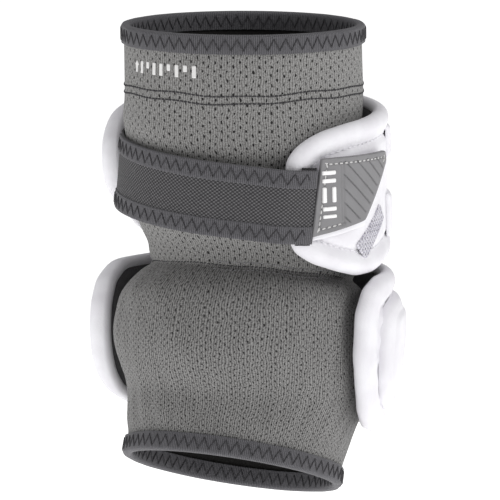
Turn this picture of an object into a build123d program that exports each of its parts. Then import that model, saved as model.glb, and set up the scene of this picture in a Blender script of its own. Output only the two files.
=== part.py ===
"""Pull-on arm pad: a bent stretch sleeve, an upper-arm guard, an elbow cap, a strap and a pull tab.

Frame: +Z runs up the upper arm, the inside of the elbow faces -Y and the elbow points to +Y.
The origin is the centre of the top opening. A direction around the arm is an angle psi, measured
from the front (-Y) towards +X. Millimetres and degrees.
"""

import os
from math import acos, cos, degrees, radians, sin, tan

from build123d import *

# ---------------------------------------------------------------- general
layer_gap = 0.15  # between two layers of one sewn stack
body_gap = 0.30  # between pieces that move past each other
reach = 120.0  # half width of a cutting block, well clear of everything

# ---------------------------------------------------------------- sleeve
sleeve_wall = 1.6
binding_height = 8.0
binding_ply = 1.2  # one thickness of the folded elastic

# stations of the sleeve's outside: centre y, centre z, radius, forward tilt of the section
top_cuff = (0.0, -10.0, 53.6, 0.0)
biceps = (0.5, -48.0, 53.4, 0.0)
above_waist = (7.0, -97.0, 49.5, 8.0)
waist = (10.0, -115.0, 47.5, 12.5)
above_elbow = (5.5, -129.0, 54.6, 10.5)
elbow = (2.0, -143.0, 57.2, 9.0)
below_elbow = (2.2, -171.0, 53.2, 13.0)
bottom_cuff = (-9.6, -197.4, 49.0, 21.0)
upper_sleeve_spans = ((top_cuff, biceps, above_waist, waist),)
lower_sleeve_spans = ((waist, above_elbow, elbow), (elbow, below_elbow, bottom_cuff))
bottom_cuff_length = 6.5  # straight fabric below the last station, inside the fold of the binding

grip_band_height = 22.0
grip_band_drop = 3.0  # below the binding
grip_band_thickness = 1.0
seam_width = 3.2
seam_thickness = 0.8

mark_height = 9.0
mark_thickness = 0.4
mark_top = -12.0
mark_psi = (-38.0, 2.0)

# ---------------------------------------------------------------- elbow hinge and fold of the sleeve
hinge_y = 4.0
hinge_z = -130.0
fold_front = 36.5  # slope of the forearm sleeve's free edge in front of the hinge
fold_back = 5.0  # and behind it
fold_drop = 1.0  # edge below the hinge axis at the sides

# ---------------------------------------------------------------- upper-arm guard
guard_top = (1.5, -20.0, 57.0)  # centre y, z, inside radius
guard_bottom = (8.5, -115.0, 56.4)
guard_lining = (0.0, 1.0)  # layers, as depths outwards from the inside face
guard_foam = (1.15, 3.9)
guard_plate = (4.05, 5.05)
guard_cover = (5.20, 6.20)
guard_segment = (6.35, 8.20)
guard_vent = (6.35, 6.95)
guard_loop = (6.35, 6.90)
guard_corner = 10.0
guard_right = ((75.0, -34.0), (0.0, -39.5), (-39.5, -46.0), (-39.5, -93.0), (8.0, -109.5), (75.0, -99.0))
guard_left = ((75.0, -34.0), (6.0, -38.0), (-20.0, -51.0), (-20.0, -73.0), (16.0, -103.0), (75.0, -99.0))
plate_inset = 9.0
segment_bands = ((-46.0, -61.0), (-77.0, -97.0))  # top and bottom of each raised block at the back
segment_front = 15.0
vent_from = (11.5, -87.1)
vent_to = (-5.0, -100.0)
vent_width = 6.5
tack_width = 44.0

# ---------------------------------------------------------------- elbow cap
cap_axis_y = 2.0
cap_top_z = -112.0
cap_bottom_z = -180.0
cap_back_drop = 2.0  # top edge lower at the back than at the sides
cap_side_rise = 4.0  # bottom edge higher at the sides than at the back
cap_front_y = -10.5
cap_corner_y = 7.0
cap_inside = ((60.0, -106.0), (62.0, -145.0), (57.0, -186.0))  # inside face: radius at three heights
cap_lining_depth = (0.0, 1.0)
cap_foam_depth = (1.15, 6.0)
cap_cover_depth = (6.15, 7.5)
cap_cup_depth = (7.65, 9.15)
cap_shell_depth = (9.30, 11.6)
cap_cup_inset = 9.5
cap_shell_inset = 8.0

# ---------------------------------------------------------------- strap
strap_width = 33.0
strap_tilt = 5.5  # the strap drops towards +X
strap_mid_z = -71.2
strap_axis_y = -0.2
webbing_thickness = 1.2
strap_ply = 0.5
ply_gap = 0.05  # between the webbing and each ply of its binding
strap_radius = 56.0  # mid thickness, where it lies on the sleeve
strap_start = -63.5
anchor_front_y = -20.5
anchor_length = 30.0
strap_on_guard = 39.0  # where it meets the guard's edge
strap_end = 50.5
strap_bend = 12.0
end_wrap_length = 7.0
end_wrap_overhang = 2.0
end_wrap_ply = 0.6

# ---------------------------------------------------------------- pull tab
tab_face = ((-34.8, -54.4), (6.8, -55.0), (8.4, -59.4), (-10.3, -82.4), (-34.8, -87.3))
tab_back = ((-34.8, -54.8), (7.6, -55.4), (11.2, -60.0), (-8.6, -85.0), (-34.8, -89.5))
tab_patch_inset = 5.0  # hook and loop patches, in from the backing's edge
tab_hook_depth = (7.20, 7.90)
tab_backing_depth = (8.05, 8.85)
tab_rubber_depth = (9.00, 10.6)
tab_corner = 1.5
emblem_height = 16.0
emblem_width = 5.0
emblem_depth = (10.75, 11.35)
emblem_y = -25.0
emblem_z = -69.5


def station_plane(station):
    """Plane of one sleeve station, its normal along the arm towards the hand."""
    y, z, _, tilt = station
    turn = radians(tilt)
    return Plane(origin=(0, y, z), x_dir=(1, 0, 0), z_dir=(0, -sin(turn), -cos(turn)))


def sleeve_core(spans, inset):
    """Solid that fills the sleeve from its first to its last station, less an inset."""
    with BuildPart() as core:
        for stations in spans:
            for station in stations:
                with BuildSketch(station_plane(station)):
                    Circle(station[2] - inset)
            loft()
    return core.part


def cuff_core(station, inset, start, end):
    """Straight cylinder in line with a cuff, from start to end along its normal."""
    with BuildPart() as core:
        with BuildSketch(station_plane(station).offset(start)):
            Circle(station[2] - inset)
        extrude(amount=end - start)
    return core.part


def side_block(points):
    """Block across the whole width with a side outline of (y, z) points."""
    with BuildPart() as block:
        with BuildSketch(Plane.YZ):
            with BuildLine():
                Polyline(*points, close=True)
            make_face()
        extrude(amount=reach, both=True)
    return block.part


def guard_core(depth):
    """Solid inside the guard's surface at one depth, a leaning round cone."""
    with BuildPart() as core:
        for y, z, radius in (guard_top, guard_bottom):
            with BuildSketch(Plane.XY.offset(z)):
                with Locations((0, y)):
                    Circle(radius + depth)
        loft()
    return core.part


def guard_layer(depths):
    """One full ring of the guard between two depths."""
    with BuildPart() as layer:
        add(guard_core(depths[1]))
        add(guard_core(depths[0]), mode=Mode.SUBTRACT)
    return layer.part


def guard_outline(inset=0.0):
    """Block that trims a guard ring to the guard's left and right outlines."""
    with BuildPart() as outline:
        for points, side in ((guard_right, 1), (guard_left, -1)):
            with BuildSketch(Plane.YZ) as profile:
                with BuildLine():
                    Polyline(*points, close=True)
                make_face()
                corners = profile.vertices().filter_by_position(Axis.X, -reach / 2, 2 * guard_corner)
                fillet(corners, guard_corner)
                if inset:
                    offset(amount=-inset)
            extrude(amount=side * reach)
    return outline.part


def cap_outline(inset=0.0):
    """Block that trims a cap layer to the cap's rounded side outline."""
    mid_z = (cap_top_z + cap_bottom_z) / 2
    with BuildPart() as outline:
        with BuildSketch(Plane.YZ):
            with BuildLine():
                side_top = (cap_corner_y, cap_top_z)
                side_bottom = (cap_corner_y, cap_bottom_z + cap_side_rise)
                back_top = (reach, cap_top_z - cap_back_drop)
                back_bottom = (reach, cap_bottom_z - cap_back_drop)
                Polyline(side_top, back_top, back_bottom, side_bottom)
                ThreePointArc(side_bottom, (cap_front_y, mid_z), side_top)
            make_face()
            if inset:
                offset(amount=-inset)
        extrude(amount=reach, both=True)
    return outline.part


def cap_core(depth):
    """Solid of revolution inside the cap's barrel-shaped surface at one depth."""
    top, middle, bottom = ((radius + depth, z) for radius, z in cap_inside)
    with BuildPart() as core:
        with BuildSketch(Plane.XZ.offset(-cap_axis_y)):
            with BuildLine():
                ThreePointArc(top, middle, bottom)
                Polyline(bottom, (0, bottom[1]), (0, top[1]), top)
            make_face()
        revolve(axis=Axis((0, cap_axis_y, 0), (0, 0, 1)))
    return core.part


def cap_layer(depths, inset=0.0):
    """One trimmed layer of the elbow cap."""
    with BuildPart() as layer:
        add(cap_core(depths[1]))
        add(cap_core(depths[0]), mode=Mode.SUBTRACT)
        add(cap_outline(inset), mode=Mode.INTERSECT)
    return layer.part


def around(axis_y, radius, psi):
    """Point (x, y) at an angle psi round an upright axis through (0, axis_y)."""
    turn = radians(psi)
    return (radius * sin(turn), axis_y - radius * cos(turn))


def save(builder, name):
    """Label a finished piece and write it."""
    builder.part.label = name
    export_step(builder.part, f"parts/{name}.step")


os.makedirs("parts", exist_ok=True)

below_fold = (
    (hinge_y - reach, hinge_z - fold_drop - reach * tan(radians(fold_front))),
    (hinge_y, hinge_z - fold_drop),
    (hinge_y + reach, hinge_z - fold_drop - reach * tan(radians(fold_back))),
    (hinge_y + reach, -3 * reach),
    (hinge_y - reach, -3 * reach),
)
above_fold = (
    (hinge_y - reach, hinge_z - fold_drop + layer_gap - reach * tan(radians(fold_front))),
    (hinge_y, hinge_z - fold_drop + layer_gap),
    (hinge_y + reach, hinge_z - fold_drop + layer_gap - reach * tan(radians(fold_back))),
    (hinge_y + reach, reach),
    (hinge_y - reach, reach),
)

# ================================================================ sleeve, upper half
fold_room = binding_ply + layer_gap
with BuildPart() as upper_sleeve:
    add(sleeve_core(upper_sleeve_spans, 0))
    add(cuff_core(top_cuff, 0, top_cuff[1] + fold_room, 0))
    add(sleeve_core(upper_sleeve_spans, sleeve_wall), mode=Mode.SUBTRACT)
    add(cuff_core(top_cuff, sleeve_wall, top_cuff[1], 0), mode=Mode.SUBTRACT)
save(upper_sleeve, "upper_sleeve")

with BuildPart() as top_binding:
    add(cuff_core(top_cuff, -fold_room, top_cuff[1], top_cuff[1] + binding_height))
    add(cuff_core(top_cuff, sleeve_wall + fold_room, top_cuff[1], 0), mode=Mode.SUBTRACT)
    with BuildSketch(Plane.XY.offset(-binding_height)):
        Circle(top_cuff[2] + layer_gap)
        Circle(top_cuff[2] - sleeve_wall - layer_gap, mode=Mode.SUBTRACT)
    extrude(amount=binding_height - binding_ply, mode=Mode.SUBTRACT)
save(top_binding, "top_binding")

grip_top = -binding_height - grip_band_drop
with BuildPart() as grip_band:
    add(sleeve_core(upper_sleeve_spans, sleeve_wall + layer_gap))
    add(cuff_core(top_cuff, sleeve_wall + layer_gap, top_cuff[1], 0))
    grip_inset = sleeve_wall + layer_gap + grip_band_thickness
    add(sleeve_core(upper_sleeve_spans, grip_inset), mode=Mode.SUBTRACT)
    add(cuff_core(top_cuff, grip_inset, top_cuff[1], 0), mode=Mode.SUBTRACT)
    with BuildSketch(Plane.XY.offset(grip_top)):
        Circle(reach)
    extrude(amount=-grip_band_height, mode=Mode.INTERSECT)
save(grip_band, "grip_band")

with BuildPart() as upper_back_seam:
    add(sleeve_core(upper_sleeve_spans, sleeve_wall + layer_gap))
    add(sleeve_core(upper_sleeve_spans, sleeve_wall + layer_gap + seam_thickness), mode=Mode.SUBTRACT)
    with BuildSketch(Plane.XY.offset(grip_top - grip_band_height - layer_gap)):
        with Locations((0, reach / 2)):
            Rectangle(seam_width, reach)
    extrude(amount=-reach, mode=Mode.INTERSECT)
save(upper_back_seam, "upper_back_seam")

with BuildPart() as direction_mark:
    add(sleeve_core(upper_sleeve_spans, -layer_gap - mark_thickness))
    add(sleeve_core(upper_sleeve_spans, -layer_gap), mode=Mode.SUBTRACT)
    with BuildSketch(Plane.XY.offset(mark_top)):
        with BuildLine():
            Polyline(
                (0, 0), around(0, reach, mark_psi[0]), around(0, reach, sum(mark_psi) / 2),
                around(0, reach, mark_psi[1]), close=True,
            )
        make_face()
    extrude(amount=-mark_height, mode=Mode.INTERSECT)
save(direction_mark, "direction_mark")

# ================================================================ sleeve, lower half
with BuildPart() as elbow_flex_panel:
    add(sleeve_core(lower_sleeve_spans, 0))
    add(sleeve_core(lower_sleeve_spans, sleeve_wall), mode=Mode.SUBTRACT)
    add(side_block(above_fold), mode=Mode.INTERSECT)
    with BuildSketch(station_plane(waist)):
        Circle(reach)
    extrude(amount=layer_gap, mode=Mode.SUBTRACT)
save(elbow_flex_panel, "elbow_flex_panel")

with BuildPart() as forearm_sleeve:
    add(sleeve_core(lower_sleeve_spans, 0))
    add(cuff_core(bottom_cuff, 0, 0, bottom_cuff_length - fold_room))
    add(sleeve_core(lower_sleeve_spans, sleeve_wall), mode=Mode.SUBTRACT)
    add(cuff_core(bottom_cuff, sleeve_wall, 0, bottom_cuff_length), mode=Mode.SUBTRACT)
    add(side_block(below_fold), mode=Mode.INTERSECT)
save(forearm_sleeve, "forearm_sleeve")

with BuildPart() as bottom_binding:
    cuff_start = bottom_cuff_length - binding_height
    add(cuff_core(bottom_cuff, -fold_room, cuff_start, bottom_cuff_length))
    add(cuff_core(bottom_cuff, sleeve_wall + fold_room, cuff_start, bottom_cuff_length), mode=Mode.SUBTRACT)
    with BuildSketch(station_plane(bottom_cuff).offset(cuff_start)):
        Circle(bottom_cuff[2] + layer_gap)
        Circle(bottom_cuff[2] - sleeve_wall - layer_gap, mode=Mode.SUBTRACT)
    extrude(amount=binding_height - binding_ply, mode=Mode.SUBTRACT)
    add(sleeve_core(lower_sleeve_spans, -layer_gap), mode=Mode.SUBTRACT)
save(bottom_binding, "bottom_binding")

with BuildPart() as lower_back_seam:
    add(sleeve_core(lower_sleeve_spans, sleeve_wall + layer_gap))
    add(sleeve_core(lower_sleeve_spans, sleeve_wall + layer_gap + seam_thickness), mode=Mode.SUBTRACT)
    add(side_block(below_fold), mode=Mode.INTERSECT)
    with BuildSketch(Plane.XY.offset(hinge_z)):
        with Locations((0, reach / 2)):
            Rectangle(seam_width, reach)
    extrude(amount=-reach, mode=Mode.INTERSECT)
    with BuildSketch(station_plane(bottom_cuff).offset(cuff_start - layer_gap)):
        Circle(reach)
    extrude(amount=reach, mode=Mode.SUBTRACT)
save(lower_back_seam, "lower_back_seam")

# ================================================================ upper-arm guard
for name, depths, inset in (
    ("upper_pad_lining", guard_lining, 0.0),
    ("upper_pad_foam", guard_foam, 0.0),
    ("upper_pad_plate", guard_plate, plate_inset),
    ("upper_pad_cover", guard_cover, 0.0),
):
    with BuildPart() as guard_piece:
        add(guard_layer(depths))
        add(guard_outline(inset), mode=Mode.INTERSECT)
    save(guard_piece, name)

with BuildPart() as upper_pad_segments:
    add(guard_layer(guard_segment))
    with BuildSketch(Plane.YZ):
        for band_top, band_bottom in segment_bands:
            with Locations(((segment_front + reach) / 2, (band_top + band_bottom) / 2)):
                Rectangle(reach - segment_front, band_top - band_bottom)
    extrude(amount=reach, both=True, mode=Mode.INTERSECT)
save(upper_pad_segments, "upper_pad_segments")

with BuildPart() as upper_pad_vent:
    add(guard_layer(guard_vent))
    with BuildSketch(Plane.YZ):
        with BuildLine():
            Line(vent_from, vent_to)
        trace(line_width=vent_width)
    extrude(amount=reach, mode=Mode.INTERSECT)
save(upper_pad_vent, "upper_pad_vent")

with BuildPart() as upper_pad_tack:
    add(guard_core(-layer_gap))
    add(sleeve_core(upper_sleeve_spans, -layer_gap), mode=Mode.SUBTRACT)
    with BuildSketch(Plane.XY.offset(segment_bands[0][0])):
        with Locations((0, reach / 2)):
            Rectangle(tack_width, reach)
    extrude(amount=segment_bands[1][1] - segment_bands[0][0], mode=Mode.INTERSECT)
save(upper_pad_tack, "upper_pad_tack")

with BuildPart() as loop_patch:
    add(guard_layer(guard_loop))
    with BuildSketch(Plane.YZ):
        with BuildLine():
            Polyline(*tab_back, close=True)
        make_face()
        offset(amount=-tab_patch_inset)
    extrude(amount=reach, mode=Mode.INTERSECT)
save(loop_patch, "loop_patch")

# ================================================================ elbow cap
for name, depths, inset in (
    ("cap_lining", cap_lining_depth, 0.0),
    ("cap_foam", cap_foam_depth, 0.0),
    ("cap_cover", cap_cover_depth, 0.0),
    ("cap_hard_cup", cap_cup_depth, cap_cup_inset),
    ("cap_shell", cap_shell_depth, cap_shell_inset),
):
    with BuildPart() as cap_piece:
        add(cap_layer(depths, inset))
    save(cap_piece, name)

with BuildPart() as cap_tack:
    add(cap_core(-layer_gap))
    add(sleeve_core(lower_sleeve_spans, -layer_gap), mode=Mode.SUBTRACT)
    with BuildSketch(Plane.XY.offset(elbow[1])):
        with Locations((0, reach / 2)):
            Rectangle(tack_width, reach)
    extrude(amount=below_elbow[1] - elbow[1], mode=Mode.INTERSECT)
save(cap_tack, "cap_tack")

# ================================================================ strap
strap_turn = radians(strap_tilt)
strap_plane = Plane(
    origin=(0, 0, strap_mid_z),
    x_dir=(cos(strap_turn), 0, -sin(strap_turn)),
    z_dir=(sin(strap_turn), 0, cos(strap_turn)),
)
guard_skin = max(guard_top[2], guard_bottom[2]) + guard_cover[1]
strap_right_top = strap_mid_z + strap_width / 2 - guard_skin * sin(radians(strap_on_guard)) * tan(strap_turn)
lean = (guard_bottom[0] - guard_top[0]) / (guard_bottom[1] - guard_top[1])
guard_mid_y = guard_top[0] + lean * (strap_right_top - guard_top[1])
over_guard = guard_skin + body_gap + end_wrap_ply + layer_gap + strap_ply + webbing_thickness / 2
edge_point = around(guard_mid_y, over_guard, strap_on_guard)
edge_distance = ((edge_point[1] - strap_axis_y) ** 2 + edge_point[0] ** 2) ** 0.5
edge_psi = degrees(acos((strap_axis_y - edge_point[1]) / edge_distance))
leave_psi = edge_psi - degrees(acos(strap_radius / edge_distance))


def strap_band(thickness, low, high):
    """Length of the strap of one thickness, between two heights above its mid line."""
    with BuildPart() as band:
        with BuildSketch(strap_plane.offset(low)):
            with BuildLine() as path:
                ThreePointArc(
                    around(strap_axis_y, strap_radius, strap_start),
                    around(strap_axis_y, strap_radius, (strap_start + leave_psi) / 2),
                    around(strap_axis_y, strap_radius, leave_psi),
                )
                Line(around(strap_axis_y, strap_radius, leave_psi), edge_point)
                ThreePointArc(
                    edge_point,
                    around(guard_mid_y, over_guard, (strap_on_guard + strap_end) / 2),
                    around(guard_mid_y, over_guard, strap_end),
                )
                bend = path.vertices().sort_by_distance((*edge_point, 0))[0]
                fillet(bend, strap_bend)
            trace(line_width=thickness)
        extrude(amount=high - low)
    return band.part


half_width = strap_width / 2
bound_thickness = webbing_thickness + 2 * strap_ply
with BuildPart() as strap_webbing:
    inner_half = half_width - strap_ply - layer_gap
    add(strap_band(webbing_thickness, -inner_half, inner_half))
save(strap_webbing, "strap_webbing")

binding_slot = webbing_thickness + 2 * ply_gap
with BuildPart() as strap_top_binding:
    add(strap_band(bound_thickness, half_width - binding_height, half_width))
    add(strap_band(binding_slot, half_width - binding_height, half_width - strap_ply), mode=Mode.SUBTRACT)
save(strap_top_binding, "strap_top_binding")

with BuildPart() as strap_bottom_binding:
    add(strap_band(bound_thickness, -half_width, binding_height - half_width))
    add(strap_band(binding_slot, strap_ply - half_width, binding_height - half_width), mode=Mode.SUBTRACT)
save(strap_bottom_binding, "strap_bottom_binding")

wrap_half = half_width + end_wrap_overhang
wrap_slot = bound_thickness + 2 * layer_gap
with BuildPart() as strap_end_wrap:
    wrap_start = strap_end - degrees(end_wrap_length / over_guard)
    with BuildSketch(strap_plane.offset(-wrap_half)):
        for width, mode in ((wrap_slot + 2 * end_wrap_ply, Mode.ADD), (wrap_slot, Mode.SUBTRACT)):
            with BuildLine():
                ThreePointArc(
                    around(guard_mid_y, over_guard, wrap_start),
                    around(guard_mid_y, over_guard, (wrap_start + strap_end) / 2),
                    around(guard_mid_y, over_guard, strap_end),
                )
            trace(line_width=width, mode=mode)
    extrude(amount=2 * wrap_half)
save(strap_end_wrap, "strap_end_wrap")

anchor_z = strap_mid_z + strap_radius * tan(strap_turn)
with BuildPart() as strap_anchor:
    add(guard_layer((-layer_gap - webbing_thickness, -layer_gap)))
    with BuildSketch(Plane.YZ):
        with Locations((anchor_front_y + anchor_length / 2, anchor_z)):
            Rectangle(anchor_length, strap_width)
    extrude(amount=-reach, mode=Mode.INTERSECT)
save(strap_anchor, "strap_anchor")

# ================================================================ pull tab
for name, depths, outline, inset in (
    ("tab_hook_patch", tab_hook_depth, tab_back, tab_patch_inset),
    ("tab_backing", tab_backing_depth, tab_back, 0.0),
    ("tab_rubber", tab_rubber_depth, tab_face, 0.0),
):
    with BuildPart() as tab_piece:
        add(guard_layer(depths))
        with BuildSketch(Plane.YZ) as tab_sketch:
            with BuildLine():
                Polyline(*outline, close=True)
            make_face()
            if inset:
                offset(amount=-inset)
            else:
                fillet(tab_sketch.vertices().sort_by(Axis.X)[-2:], tab_corner)
        extrude(amount=reach, mode=Mode.INTERSECT)
    save(tab_piece, name)

with BuildPart() as tab_emblem:
    add(guard_layer(emblem_depth))
    with BuildSketch(Plane.YZ):
        with Locations((emblem_y, emblem_z)):
            SlotOverall(emblem_height, emblem_width, rotation=90)
    extrude(amount=reach, mode=Mode.INTERSECT)
save(tab_emblem, "tab_emblem")
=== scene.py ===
"""Pull-on arm pad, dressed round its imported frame.

Shapes are worked out in millimetres as whole numpy arrays and put into meshes in metres. A direction
round the arm is an angle psi, measured from the front (-Y) towards +X, and a depth is a distance below
the top opening.
"""

from __future__ import annotations

import logging
from dataclasses import dataclass
from enum import Enum
from typing import Any, Callable, Sequence

import bmesh
import bpy
import numpy as np
from mathutils import Matrix

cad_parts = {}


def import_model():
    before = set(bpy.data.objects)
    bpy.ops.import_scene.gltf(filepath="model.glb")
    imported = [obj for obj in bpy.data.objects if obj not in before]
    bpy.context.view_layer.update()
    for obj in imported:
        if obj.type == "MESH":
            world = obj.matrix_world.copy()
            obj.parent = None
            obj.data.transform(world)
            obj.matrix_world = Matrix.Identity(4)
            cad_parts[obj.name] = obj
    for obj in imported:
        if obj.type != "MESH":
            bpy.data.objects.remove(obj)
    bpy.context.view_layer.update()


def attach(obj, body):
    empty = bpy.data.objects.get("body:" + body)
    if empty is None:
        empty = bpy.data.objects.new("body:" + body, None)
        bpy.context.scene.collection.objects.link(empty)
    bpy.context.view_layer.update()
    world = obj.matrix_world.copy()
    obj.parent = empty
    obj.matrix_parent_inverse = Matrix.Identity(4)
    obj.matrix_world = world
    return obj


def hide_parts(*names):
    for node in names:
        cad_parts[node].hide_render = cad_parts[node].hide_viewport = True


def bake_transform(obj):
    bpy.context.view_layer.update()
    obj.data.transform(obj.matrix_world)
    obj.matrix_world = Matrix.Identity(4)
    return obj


log = logging.getLogger("arm_pad")
MM = 0.001
UV_MM = 0.01  # UV units for each millimetre of cloth
THREAD_RADIUS = 0.33  # zigzag thread, in millimetres
Array = np.ndarray


class Body(Enum):
    """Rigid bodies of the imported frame."""

    UPPER = "upper_arm"
    FOREARM = "forearm"
    STRAP = "strap"
    TAB = "pull_tab"


# ------------------------------------------------------------------ numeric helpers
def smooth_curve(at: Array, knots: Sequence[float], values: Sequence[float]) -> Array:
    """Cubic Hermite curve through the knots, with slopes from central differences.

    Args:
        at: places where the curve is read.
        knots: rising positions.
        values: one value for each knot.

    Returns:
        The curve's values, in the shape of ``at``.
    """
    knots, values = np.asarray(knots, float), np.asarray(values, float)
    slopes = np.gradient(values, knots)
    i = np.clip(np.searchsorted(knots, at, side="right") - 1, 0, len(knots) - 2)
    h = knots[i + 1] - knots[i]
    t = np.clip((at - knots[i]) / h, 0, 1)
    return (
        (2 * t**3 - 3 * t**2 + 1) * values[i]
        + (t**3 - 2 * t**2 + t) * h * slopes[i]
        + (3 * t**2 - 2 * t**3) * values[i + 1]
        + (t**3 - t**2) * h * slopes[i + 1]
    )


def ease(x: Array, low: float, high: float) -> Array:
    """Smoothstep from 0 at low to 1 at high."""
    t = np.clip((x - low) / (high - low), 0, 1)
    return t * t * (3 - 2 * t)


def bump(x: Array, centre: Array | float, width: float) -> Array:
    """Gaussian bump of height 1: exp(-((x - centre) / width) squared)."""
    return np.exp(-(((x - centre) / width) ** 2))


def unit(v: Array) -> Array:
    """Vectors scaled to length 1 along the last axis."""
    return v / np.maximum(np.linalg.norm(v, axis=-1, keepdims=True), 1e-9)


def turned(psi: Array) -> tuple[Array, Array]:
    """Sine and cosine of an angle in degrees."""
    return np.sin(np.radians(psi)), np.cos(np.radians(psi))


# ------------------------------------------------------------------ mesh helpers
def grid_faces(rows: int, cols: int, wrap: bool) -> tuple[Array, Array]:
    """Quads of a grid of points and the grid place of each corner.

    Args:
        rows: points along the first parameter.
        cols: points along the second parameter.
        wrap: whether the last column joins the first.

    Returns:
        Faces (M, 4) of point numbers, and corners (M, 4, 2) of (row, column) before wrapping.
    """
    last = cols if wrap else cols - 1
    r, c = np.meshgrid(np.arange(rows - 1), np.arange(last), indexing="ij")
    r, c = r.ravel(), c.ravel()
    corners = np.stack([np.stack([r + a, c + b], -1) for a, b in ((0, 0), (1, 0), (1, 1), (0, 1))], 1)
    return corners[..., 0] * cols + corners[..., 1] % cols, corners


def make_piece(
    name: str, points: Array, faces: Array, finish: "Finish", corner_uv: Array | None = None
) -> bpy.types.Object:
    """Puts points in millimetres and faces into a smooth mesh object with a finish.

    Args:
        name: name of the object and its mesh.
        points: (N, 3) in millimetres.
        faces: (M, 4) point numbers.
        finish: finish of the piece.
        corner_uv: (M, 4, 2) cloth coordinates in millimetres.

    Returns:
        The linked object.
    """
    mesh = bpy.data.meshes.new(name)
    mesh.from_pydata((points.reshape(-1, 3) * MM).tolist(), [], faces.tolist())
    if corner_uv is not None:
        layer = mesh.uv_layers.new(name="cloth")
        layer.data.foreach_set("uv", (corner_uv.reshape(-1, 2) * UV_MM).astype(np.float32).ravel())
    mesh.polygons.foreach_set("use_smooth", np.ones(len(mesh.polygons), bool))
    obj = bpy.data.objects.new(name, mesh)
    bpy.context.scene.collection.objects.link(obj)
    mesh.materials.append(finish.material())
    return obj


def close_seams(obj: bpy.types.Object, distance: float = 0.01) -> None:
    """Merges points nearer than a distance in millimetres and turns all faces outwards."""
    work = bmesh.new()
    work.from_mesh(obj.data)
    bmesh.ops.remove_doubles(work, verts=work.verts, dist=distance * MM)
    bmesh.ops.dissolve_degenerate(work, dist=distance * MM * 0.1, edges=work.edges)
    bmesh.ops.recalc_face_normals(work, faces=work.faces)
    work.to_mesh(obj.data)
    work.free()


def cap_ends(faces: Array, rows: int, cols: int) -> list[list[int]]:
    """Faces of a tube of rings as lists, with one face over each end ring."""
    ends = [list(range(cols)), list(range(rows * cols - 1, (rows - 1) * cols - 1, -1))]
    return faces.tolist() + ends


def make_tube(
    name: str, rings: Array, finish: "Finish", uv: tuple[Array, Array] | None = None
) -> bpy.types.Object:
    """Closed solid from rings of points, (rows, cols, 3) in millimetres, with flat ends.

    Args:
        name: name of the object.
        rings: the points, one closed ring for each place along the path.
        finish: finish of the piece.
        uv: distance along the path for each row, and round the ring for each column plus one.

    Returns:
        The linked object.
    """
    rows, cols = rings.shape[:2]
    faces, corners = grid_faces(rows, cols, wrap=True)
    mesh = bpy.data.meshes.new(name)
    mesh.from_pydata((rings.reshape(-1, 3) * MM).tolist(), [], cap_ends(faces, rows, cols))
    if uv is not None:
        along, round_ = uv
        sides = np.stack([along[corners[..., 0]], round_[corners[..., 1]]], -1).reshape(-1, 2)
        ends = np.zeros((2 * cols, 2))
        layer = mesh.uv_layers.new(name="cloth")
        layer.data.foreach_set("uv", (np.concatenate([sides, ends]) * UV_MM).astype(np.float32).ravel())
    mesh.polygons.foreach_set("use_smooth", np.ones(len(mesh.polygons), bool))
    obj = bpy.data.objects.new(name, mesh)
    bpy.context.scene.collection.objects.link(obj)
    mesh.materials.append(finish.material())
    close_seams(obj)
    return obj


def settle(obj: bpy.types.Object, body: Body, replaces: Sequence[str] = ()) -> bpy.types.Object:
    """Rides a piece on a body and hides the CAD nodes it stands for."""
    if replaces:
        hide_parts(*replaces)
    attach(obj, body.value)
    log.info("%s rides on %s", obj.name, body.value)
    return obj


# ------------------------------------------------------------------ material helpers
def linear(hex_colour: str) -> tuple[float, float, float, float]:
    """Linear RGBA of an sRGB hex colour such as '#8c8b8a'."""
    srgb = np.array([int(hex_colour[i : i + 2], 16) for i in (1, 3, 5)]) / 255
    rgb = np.where(srgb <= 0.04045, srgb / 12.92, ((srgb + 0.055) / 1.055) ** 2.4)
    return (*map(float, rgb), 1.0)


def add_node(
    tree: bpy.types.NodeTree, kind: str, inputs: dict[Any, Any] | None = None, **settings: Any
) -> bpy.types.Node:
    """Adds a node with its settings, values and links.

    Args:
        tree: node tree of the material.
        kind: node type, such as 'ShaderNodeMath'.
        inputs: socket name or number to a value, or to the output socket that feeds it.
        settings: attributes of the node.

    Returns:
        The node.
    """
    node = tree.nodes.new(kind)
    for key, value in settings.items():
        setattr(node, key, value)
    for key, value in (inputs or {}).items():
        if isinstance(value, bpy.types.NodeSocket):
            tree.links.new(value, node.inputs[key])
        else:
            node.inputs[key].default_value = value
    return node


def calc(tree: bpy.types.NodeTree, operation: str, a: Any, b: Any = 0.0, clamp: bool = False) -> Any:
    """Output of one math operation on two sockets or numbers."""
    return add_node(tree, "ShaderNodeMath", {0: a, 1: b}, operation=operation, use_clamp=clamp).outputs[0]


def cloth_xy(tree: bpy.types.NodeTree) -> tuple[Any, Any, Any]:
    """Cloth vector in millimetres from the piece's own UV map, and its two parts."""
    uv = add_node(tree, "ShaderNodeUVMap", uv_map="cloth").outputs[0]
    scale = (1 / UV_MM, 1 / UV_MM, 1.0)
    vector = add_node(tree, "ShaderNodeMapping", {"Vector": uv, "Scale": scale}).outputs[0]
    parts = add_node(tree, "ShaderNodeSeparateXYZ", {0: vector})
    return vector, parts.outputs[0], parts.outputs[1]


def object_mm(tree: bpy.types.NodeTree) -> Any:
    """Object coordinates in millimetres."""
    place = add_node(tree, "ShaderNodeTexCoord").outputs["Object"]
    inputs = {"Vector": place, "Scale": (1 / MM, 1 / MM, 1 / MM)}
    return add_node(tree, "ShaderNodeMapping", inputs).outputs[0]


def noise(tree: bpy.types.NodeTree, vector: Any, size_mm: float, detail: float = 2.0) -> Any:
    """Noise whose lumps are about size_mm across, from 0 to 1."""
    inputs = {"Vector": vector, "Scale": 1 / size_mm, "Detail": detail}
    return add_node(tree, "ShaderNodeTexNoise", inputs).outputs["Fac"]


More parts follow.
